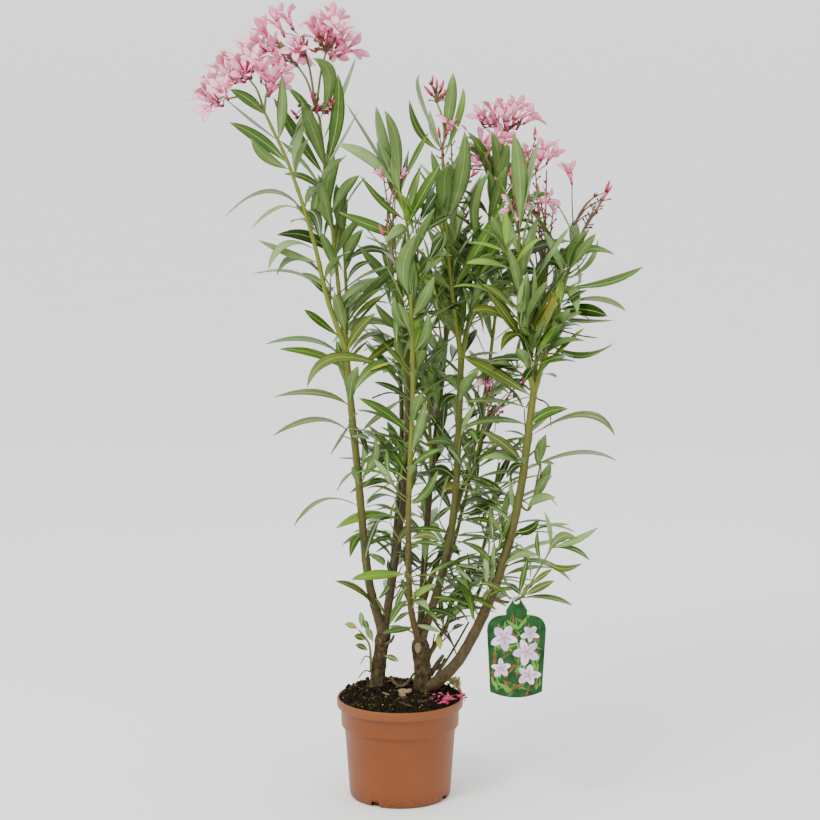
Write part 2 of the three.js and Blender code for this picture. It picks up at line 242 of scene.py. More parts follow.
def span(owner, source, low, high, start=0.0, stop=1.0):
    """start where source is under low, stop where it is over high."""
    limits = {"From Min": low, "From Max": high, "To Min": start, "To Max": stop}
    return add_node(owner, "MapRange", limits, {"Value": source}).outputs["Result"]


def node_material(name, low, high, scale, roughness, bump=0.0, bump_scale=None, specular=0.5):
    """A principled material whose colour wanders between low and high, with a fine relief."""
    material = bpy.data.materials.new(name)
    material.use_nodes = True
    links = material.node_tree.links
    shader = material.node_tree.nodes["Principled BSDF"]
    shader.inputs["Roughness"].default_value = roughness
    shader.inputs["Specular IOR Level"].default_value = specular
    ramp = add_node(material, "ValToRGB", feeds={"Fac": noise_output(material, scale, 4.0)})
    for element, place, colour in zip(ramp.color_ramp.elements, (0.34, 0.66), (low, high)):
        element.position = place
        element.color = (*colour, 1)
    links.new(ramp.outputs["Color"], shader.inputs["Base Color"])
    if bump:
        grain = noise_output(material, bump_scale or scale * 6, 6.0)
        relief = add_node(material, "Bump", {"Strength": bump, "Distance": 0.001}, {"Height": grain})
        links.new(relief.outputs["Normal"], shader.inputs["Normal"])
    return material


def mix_over(material, factor, colour):
    """Lays a second colour over a material's base colour where factor is 1."""
    nodes, links = material.node_tree.nodes, material.node_tree.links
    base = nodes["Principled BSDF"].inputs["Base Color"]
    mixer = nodes.new("ShaderNodeMix")
    mixer.data_type = "RGBA"
    links.new(factor, mixer.inputs["Factor"])
    links.new(base.links[0].from_socket, mixer.inputs["A"])
    mixer.inputs["B"].default_value = (*colour, 1)
    links.new(mixer.outputs["Result"], base)


def above(material, low, high):
    """0 below the height low, 1 above high, in metres."""
    return span(material, height_output(material, "Object"), low, high)


def patches(material, scale, low, high):
    """Scattered patches: 0 where a noise is under low, 1 where it is over high."""
    return span(material, noise_output(material, scale, 5.0), low, high)


def both(material, first, second):
    """The product of two factors."""
    product = add_node(material, "Math", feeds={0: first, 1: second})
    product.operation = "MULTIPLY"
    return product.outputs["Value"]


# Leaves
LEAF_ROWS = 12
LEAF_EDGE = (-1.0, -0.55, -0.1, 0.1, 0.55, 1.0, 0.55, 0.1, -0.1, -0.55)
LEAF_KINDS = [0, 0, 2, 0, 0, 1, 1, 2, 1, 1]
RIB_HALF = 0.0006
BLADE = 0.0004
PETIOLE = 0.05

# What the photograph's front view shows, in its pixels: the outline that the seeded leaves keep to,
# and openings (left, top, right, bottom) where the background is seen between the stems
FRONT_OUTLINE = (
    (298, 72), (335, 78), (348, 110), (352, 168), (372, 178), (376, 112), (400, 108), (424, 102),
    (440, 76), (466, 84), (476, 146), (505, 132), (530, 150), (550, 185), (572, 216), (600, 236),
    (606, 300), (588, 345), (562, 400), (556, 470), (582, 540), (560, 582), (500, 612), (470, 632),
    (385, 632), (360, 592), (345, 540), (350, 470), (345, 385), (328, 340), (306, 300), (290, 250),
    (280, 190), (262, 130), (284, 95),
)
OPENINGS = (
    (364, 378, 396, 424), (482, 318, 506, 360), (498, 406, 518, 438), (350, 190, 380, 215),
    (458, 515, 480, 550), (320, 300, 335, 335), (350, 60, 395, 140), (400, 104, 428, 146),
    (480, 458, 498, 480), (346, 256, 372, 278), (380, 298, 396, 338), (442, 500, 458, 520),
    (384, 541, 396, 566), (412, 522, 421, 556), (366, 486, 392, 504),
)

# Where stems further back stay in view: boxes in the same pixels, with the depth (m) of the stem
STEM_SHOWS = (
    (431, 396, 445, 430, 0.06), (426, 430, 440, 480, 0.05), (421, 480, 434, 540, 0.04),
    (418, 540, 430, 592, 0.02), (400, 480, 409, 505, 0.04), (396, 505, 406, 540, 0.03),
    (390, 540, 401, 600, 0.0),
)

# Tones of the leaves' upper sides. The dark tone is painted shade: the mid green darkened, for leaves that
# lie in shadow
MID, SHADED_DARK, FRESH, BLUE, OLIVE, YELLOW = "mid", "dark", "fresh", "blue", "olive", "yellow"

leaf_piles = {}
eye = Vector(CAMERA_AT)
pitch = math.radians(CAMERA_PITCH)


def front_pixel(point):
    """Where a point falls in the photograph's frame."""
    seen = point - eye
    depth = seen.y * math.cos(pitch) - seen.z * math.sin(pitch)
    rise = seen.y * math.sin(pitch) + seen.z * math.cos(pitch)
    middle = FRAME_PIXELS / 2
    return middle + FOCAL_PIXELS * seen.x / depth, middle - FOCAL_PIXELS * rise / depth


def sight(u, v):
    """The way from the camera through a pixel of the photograph: to the right, ahead and up."""
    side, up = (u - FRAME_PIXELS / 2) / FOCAL_PIXELS, (FRAME_PIXELS / 2 - v) / FOCAL_PIXELS
    return side, math.cos(pitch) + up * math.sin(pitch), up * math.cos(pitch) - math.sin(pitch)


def photo_point(u, v, depth):
    """The point, in whole millimetres, at a pixel of the photograph and so deep behind the pot's axis."""
    side, ahead, rise = sight(u, v)
    x, y, z = (c / MM for c in CAMERA_AT)
    far = (depth - y) / ahead
    return mm((round(x + far * side), round(depth), round(z + far * rise)))


def photo_points(*marks):
    return [photo_point(*mark) for mark in marks]


def lying_point(u, v, height):
    """The point at a pixel of the photograph that lies so high above the floor, in millimetres."""
    ahead, rise = sight(u, v)[1:]
    x, y, z = (c / MM for c in CAMERA_AT)
    point = photo_point(u, v, round(y + (height - z) / rise * ahead))
    return Vector((point.x, point.y, height * MM))


def nearest_along(points, u, v):
    """Where along a curve it passes nearest to a pixel of the photograph."""
    steps = 400

    def gap(k):
        seen_u, seen_v = front_pixel(curve_point(points, k / steps))
        return math.hypot(seen_u - u, seen_v - v)
    return min(range(steps + 1), key=gap) / steps


def in_front_outline(point):
    """True where a seeded leaf may show: inside the outline and in none of the openings."""
    u, v = front_pixel(point)
    if any(left < u < right and top < v < bottom for left, top, right, bottom in OPENINGS):
        return False
    crossed = False
    for (u1, v1), (u2, v2) in zip(FRONT_OUTLINE, FRONT_OUTLINE[1:] + FRONT_OUTLINE[:1]):
        if (v1 > v) != (v2 > v) and u < u1 + (v - v1) * (u2 - u1) / (v2 - v1):
            crossed = not crossed
    return crossed


def hides_stem(point):
    """True where a point lies in front of a stem that stays in view."""
    u, v = front_pixel(point)
    return any(left < u < right and top < v < bottom and point.y < depth
               for left, top, right, bottom, depth in STEM_SHOWS)


def inside(point):
    """True where a tip stays within the construction's box and its small overhang."""
    return all(cad_low[a] - OVERHANG < point[a] < cad_high[a] + OVERHANG for a in range(3))


def blade(tone, spine, side, width, fold, twist):
    """An elliptic leaf along its spine, folded on a pale midrib, upper face along side x heading."""
    rings = []
    for row in range(1, LEAF_ROWS):
        s = row / LEAF_ROWS
        t = max(0.0, (s - PETIOLE) / (1 - PETIOLE))
        half = max(RIB_HALF * 1.4, 0.5 * width * math.sin(math.pi * t ** 1.06) ** 0.82)
        rib = RIB_HALF * (1.35 - 0.85 * s)
        lean = fold * (1 - 0.5 * t)
        ahead = (spine[row + 1] - spine[row - 1]).normalized()
        flat = (side - ahead * side.dot(ahead)).normalized()
        flat = turned(flat, ahead, twist * (s - 0.5))
        up = flat.cross(ahead)
        ring = []
        for k, share in enumerate(LEAF_EDGE):
            ribbed = k in (2, 3, 7, 8)
            x = math.copysign(rib, share) if ribbed else share * half
            z = abs(x) * lean - 0.35 * half * (x / half) ** 4 * lean
            if ribbed and k < 5:
                z += BLADE * 0.4
            if k > 5:
                z -= BLADE if not ribbed else BLADE * 2.6
            ring.append(spine[row] + flat * x + up * z)
        rings.append(ring)
    leaf_piles.setdefault(tone, Pile()).rings(rings, LEAF_KINDS, spine[0], spine[-1])


def seeded_leaf(tone, base, heading, side, length, width, bow, droop, fold, twist):
    """A leaf that arches with bow and droop, dropped where the photograph shows background."""
    spine = []
    place = base.copy()
    for row in range(LEAF_ROWS + 1):
        s = row / LEAF_ROWS
        spine.append(place.copy())
        ahead = (heading + bow * s + DOWN * droop * s ** 1.6).normalized()
        place += ahead * length / LEAF_ROWS
    if not inside(spine[-1]):
        return
    if not all(in_front_outline(spine[row]) for row in (LEAF_ROWS // 2, 3 * LEAF_ROWS // 4, -1)):
        return
    if any(hides_stem(spot) for spot in spine[2:]):
        return
    blade(tone, spine, side, width, fold, twist)


def placed_leaf(tone, base, middle, tip, seen_width):
    """A leaf through three points that shows seen_width to the camera and lies as flat as it can."""
    control = middle * 1.8 - (base + tip) * 0.4
    spine = []
    for row in range(LEAF_ROWS + 1):
        s = row / LEAF_ROWS
        spine.append(base * (1 - s) ** 2 + control * 2 * s * (1 - s) + tip * s * s)
    length = (middle - base).length + (tip - middle).length
    seen_width *= CROWN_WIDER if base.z > CROWN_HEIGHT and seen_width > CROWN_BROAD else WIDER
    width = max(seen_width, min(LEAF_BROADEST, 0.15 * length), LEAF_NARROWEST)
    heading = (tip - base).normalized()
    toward = eye - middle
    toward = (toward - heading * toward.dot(heading)).normalized()
    roll = math.acos(min(1.0, seen_width / width))
    normal = max((turned(toward, heading, s * roll) for s in (-1, 1)), key=lambda n: n.z)
    if normal.z < -0.25:
        normal = -normal
    blade(tone, spine, heading.cross(normal), width, rng.uniform(0.15, 0.45), rng.uniform(-0.5, 0.5))


def pick_tone(height):
    """Darker and olive leaves low down, fresher ones high up, and a rare yellow one."""
    draw = rng.random()
    if draw < 0.008:
        return YELLOW
    if draw < 0.14:
        return BLUE
    if draw < 0.16 + 0.22 * height:
        return FRESH
    if draw < 0.55:
        return MID
    # the dark tone is painted shade, the mid green darkened as if in shadow
    return OLIVE if draw < 0.76 - 0.12 * height else SHADED_DARK


def whorl(centre, axis, turn, count, length, spread, droop, stem_radius):
    """A whorl of leaves round a stem, spread degrees from its direction, fewer on the near side."""
    for k in range(count):
        out = spoke(axis, turn + math.tau * k / 3 + rng.uniform(-0.25, 0.25))
        angle = math.radians(spread + rng.uniform(-11, 11))
        heading = axis * math.cos(angle) + out * math.sin(angle)
        size = length * rng.uniform(0.72, 1.1)
        broad = 0.0140 + 0.0055 * min(1.0, max(0.0, (centre.z - 0.3) / 0.5))
        width = broad * rng.uniform(0.8, 1.15) * (size / 0.11) ** 0.5
        bow = out * rng.uniform(0.0, 0.5)
        sag = droop * rng.uniform(0.5, 1.4)
        fold = rng.uniform(0.15, 0.5)
        twist = rng.uniform(-0.9, 0.9)
        tone = pick_tone(centre.z)
        if out.y < -0.3 and rng.random() < NEAR_SIDE_BARE:
            continue
        seeded_leaf(tone, centre + out * stem_radius * 0.7, heading, out.cross(axis), size, width,
                    bow, sag, fold, twist)


# Stems: centrelines in millimetres, with radii, as the construction has them
STOOLS = {
    "left_stool": ((-35, 20, 149), (-32, 20, 194), (-25, 16, 243), (11.2, 9.8)),
    "right_stool": ((36, 0, 149), (33, 0, 196), (30, 0, 233), (13, 11.8)),
}
STEMS = (
    ("stem_left", "left_stool", 1, (7.3, 4.8), (-47, 6, 330), (-61, -7, 480), (-79, -10, 677)),
    ("stem_left_outer", "stem_left", 1, (3.9, 2.2),
     (-105, -15, 751), (-125, -25, 839), (-156, -40, 940), (-189, -54, 1016)),
    ("stem_left_inner", "stem_left", 1, (3.9, 2.2), (-88, 5, 749), (-98, 15, 844), (-117, 30, 1011)),
    ("stem_left_back", "stem_left", 1, (3.2, 2), (-79, 24, 748), (-86, 54, 882)),
    ("stem_middle_rear", "left_stool", 1, (5.9, 3.2),
     (-11, 30, 323), (7, 52, 470), (11, 60, 640), (-4, 58, 800)),
    ("stem_middle_front", "right_stool", 0.84, (5.2, 2.8),
     (15, -30, 307), (13, -57, 450), (19, -74, 620), (16, -80, 765)),
    ("stem_middle_side", "stem_middle_front", 0.74, (2.6, 1.8),
     (18, -52, 740), (12, -38, 850), (-5, -34, 925)),
    ("stem_centre_rear", "right_stool", 1, (5.8, 3.2),
     (36, 48, 334), (47, 80, 470), (66, 104, 640), (82, 120, 850)),
    ("stem_centre_fork", "stem_centre_rear", 0.52, (2.8, 1.8), (40, 92, 640), (30, 100, 760)),
    ("stem_centre_front", "right_stool", 1, (6.7, 4.6), (60, -20, 335), (81, -20, 450), (90, -20, 665)),
    ("stem_centre_left", "stem_centre_front", 1, (3.6, 2.2), (76, -10, 765), (64, 16, 900)),
    ("stem_centre_right", "stem_centre_front", 1, (3.6, 2.2),
     (111, 20, 763), (139, 54, 890), (156, 72, 990)),
    ("stem_right_thin", "stem_centre_front", 0.12, (3.4, 1.8),
     (77, 16, 370), (100, -12, 470), (122, -40, 566)),
    ("stem_right_rear", "right_stool", 0.5, (3.6, 2.2), (75, 30, 262), (118, 42, 340), (150, 48, 500)),
    ("stem_right", "right_stool", 0.14, (10.2, 5.2),
     (62, -18, 184), (96, -40, 232), (138, -66, 332), (172, -70, 460), (194, -60, 622)),
    ("stem_right_left", "stem_right", 1, (4, 2.3), (180, -76, 690), (169, -94, 850)),
    ("stem_right_middle", "stem_right", 1, (3.4, 2), (203, -20, 697), (222, 42, 820)),
    ("stem_right_outer", "stem_right", 1, (4, 2.3), (216, -54, 692), (238, -42, 776), (256, -30, 836)),
    ("label_twig", "stem_right", 0.575, (2.6, 1.6), (160, -76, 314), (178, -122, 334)),
    ("stem_back", "left_stool", 0.8, (4.8, 2.6), (-8, 80, 380), (2, 128, 560), (-14, 156, 800)),
    ("stem_back_right", "stem_centre_rear", 0.14, (4.2, 2.4),
     (92, 92, 440), (128, 128, 580), (150, 150, 740)),
)

# Leafing of each stem: first leafy fraction, whorl spacing, leaf length (m), spread from and to
# (degrees from the stem), droop from and to, and how many short side shoots it carries
LEAFING = {
    "stem_left": (0.34, 0.052, 0.105, 78, 62, 0.9, 0.6, 4),
    "stem_left_outer": (0.05, 0.040, 0.125, 62, 30, 0.7, 0.1, 1),
    "stem_left_inner": (0.05, 0.042, 0.125, 55, 22, 0.5, 0.0, 1),
    "stem_left_back": (0.15, 0.042, 0.12, 55, 24, 0.5, 0.1, 1),
    "stem_middle_rear": (0.16, 0.042, 0.115, 72, 24, 0.7, 0.0, 5),
    "stem_middle_front": (0.20, 0.036, 0.105, 70, 26, 0.7, 0.1, 7),
    "stem_middle_side": (0.25, 0.038, 0.105, 50, 20, 0.4, 0.0, 1),
    "stem_centre_rear": (0.22, 0.034, 0.12, 70, 22, 0.7, 0.0, 8),
    "stem_centre_fork": (0.20, 0.04, 0.11, 60, 24, 0.5, 0.0, 1),
    "stem_centre_front": (0.26, 0.040, 0.11, 74, 55, 0.8, 0.4, 7),
    "stem_centre_left": (0.10, 0.030, 0.125, 50, 18, 0.4, 0.0, 6),
    "stem_centre_right": (0.10, 0.028, 0.12, 55, 22, 0.4, 0.0, 8),
    "stem_right_thin": (0.20, 0.045, 0.10, 70, 35, 0.8, 0.2, 1),
    "stem_right_rear": (0.12, 0.036, 0.105, 72, 35, 0.8, 0.2, 5),
    "stem_right": (0.49, 0.038, 0.11, 78, 60, 1.0, 0.6, 7),
    "stem_right_left": (0.12, 0.028, 0.13, 48, 16, 0.3, 0.0, 6),
    "stem_right_middle": (0.15, 0.030, 0.11, 58, 28, 0.5, 0.1, 5),
    "stem_right_outer": (0.15, 0.034, 0.12, 66, 40, 0.6, 0.2, 2),
    "label_twig": (0.62, 0.02, 0.075, 60, 40, 0.6, 0.3, 0),
    "stem_back": (0.20, 0.04, 0.115, 74, 24, 0.7, 0.0, 6),
    "stem_back_right": (0.20, 0.04, 0.115, 72, 26, 0.7, 0.0, 4),
}


limbs = {}
for name, (foot, bend, tip, radii) in STOOLS.items():
    limbs[name] = (metres((foot, bend, tip)), [r * MM for r in radii])
for name, parent, start, radii, *points in STEMS:
    route = [curve_point(limbs[parent][0], start), *metres(points)]
    limbs[name] = (route, [r * MM for r in radii])


def bark_relief(strength, knots):
    """Shallow wandering ridges, with a swelling at each old leaf node."""
    def relief(centre, out, row):
        spot = centre * 90 + out * 1.6
        ridge = noise.noise(Vector((spot.x, spot.y, spot.z * 0.35))) * strength
        ring = max((1 - abs(row - knot) / 1.6 for knot in knots), default=0)
        return ridge + max(ring, 0) * strength * 1.1
    return relief


def grow_stem(pile, name, sides, kind=0, row_length=0.004, strength=0.0004):
    points, (first, last) = limbs[name]
    rows = max(8, int(curve_length(points) / row_length))
    collar = min(0.0025, 0.35 * first)
    radii = [first + (last - first) * k / rows + collar * math.exp(-k * row_length / 0.022)
             for k in range(rows + 1)]
    gap = int(0.034 / row_length)
    knots = [k + rng.randint(-1, 1) for k in range(gap // 2, rows, gap)]
    tube(pile, sampled(points, rows), radii, sides, kind, bark_relief(strength, knots))


STOOL_SIDES = 40


def grow_stool(pile, name):
    """An old stool: root flare, lumpy bark and a rounded, swollen fork, from its flat foot."""
    points, (first, last) = limbs[name]
    rows, domed = 44, 6
    flare = 0.006 if name == "right_stool" else 0.004
    rings = []
    for k in range(rows + domed):
        along = min(1.0, k / rows)
        heading = UP if k == 0 else curve_heading(points, along)
        over = max(0, k - rows) / domed * math.pi / 2
        centre = curve_point(points, along) + heading * last * 0.9 * math.sin(over)
        radius = first + (last - first) * along + flare * math.exp(-7 * along)
        radius += 0.0014 * math.exp(-((along - 0.9) / 0.1) ** 2)
        radius *= math.cos(over)
        ring = []
        for s in range(STOOL_SIDES):
            turn = math.tau * s / STOOL_SIDES
            out = spoke(heading, turn)
            spot = centre * 60 + out * 1.3
            lumps = noise.noise(spot) * 0.0016 + noise.noise(spot * 3.1) * 0.0007
            lumps += noise.noise(Vector((out.x * 3, out.y * 3, centre.z * 22))) * 0.0011
            toes = 0.5 * flare * math.exp(-9 * along) * math.cos(5 * turn + 1)
            ring.append(centre + out * (radius + lumps + toes))
        rings.append(ring)
    top = curve_point(points, 1) + curve_heading(points, 1) * last * 0.9
    pile.rings(rings, [0] * STOOL_SIDES, points[0], top)


stool_pile = Pile()
for name in STOOLS:
    grow_stool(stool_pile, name)

# Woody stems and the bark that each has: 0 olive brown, 1 dark brown, 2 green from half way up
WOODY = {
    "stem_left": 0, "stem_middle_rear": 1, "stem_middle_front": 2, "stem_centre_rear": 1,
    "stem_centre_front": 0, "stem_right": 0, "stem_back": 1,
}
wood_pile, green_pile, twig_pile = Pile(), Pile(), Pile()
for name, *_ in STEMS:
    woody = name in WOODY
    grow_stem(wood_pile if woody else green_pile, name, 14 if woody else 10, WOODY.get(name, 0))


# Small leafy twigs that the construction leaves out
TWIGS = (
    ("shoot_tall", "stem_centre_left", 1, (2.2, 1.4), (63, 21, 931), (62, 26, 968)),
    ("twig_centre", "stem_centre_rear", 0.76, (1.9, 1.2), (62, 85, 685), (55, 65, 735)),
    ("twig_right_mid", "stem_right", 0.80, (1.9, 1.2), (190, -60, 451), (206, -50, 517)),
    ("twig_right_low", "label_twig", 1, (1.5, 1.1), (193, -117, 360), (220, -112, 405)),
)
for name, parent, start, radii, *points in TWIGS:
    route = [curve_point(limbs[parent][0], start), *metres(points)]
    limbs[name] = (route, [r * MM for r in radii])
    grow_stem(twig_pile, name, 8)

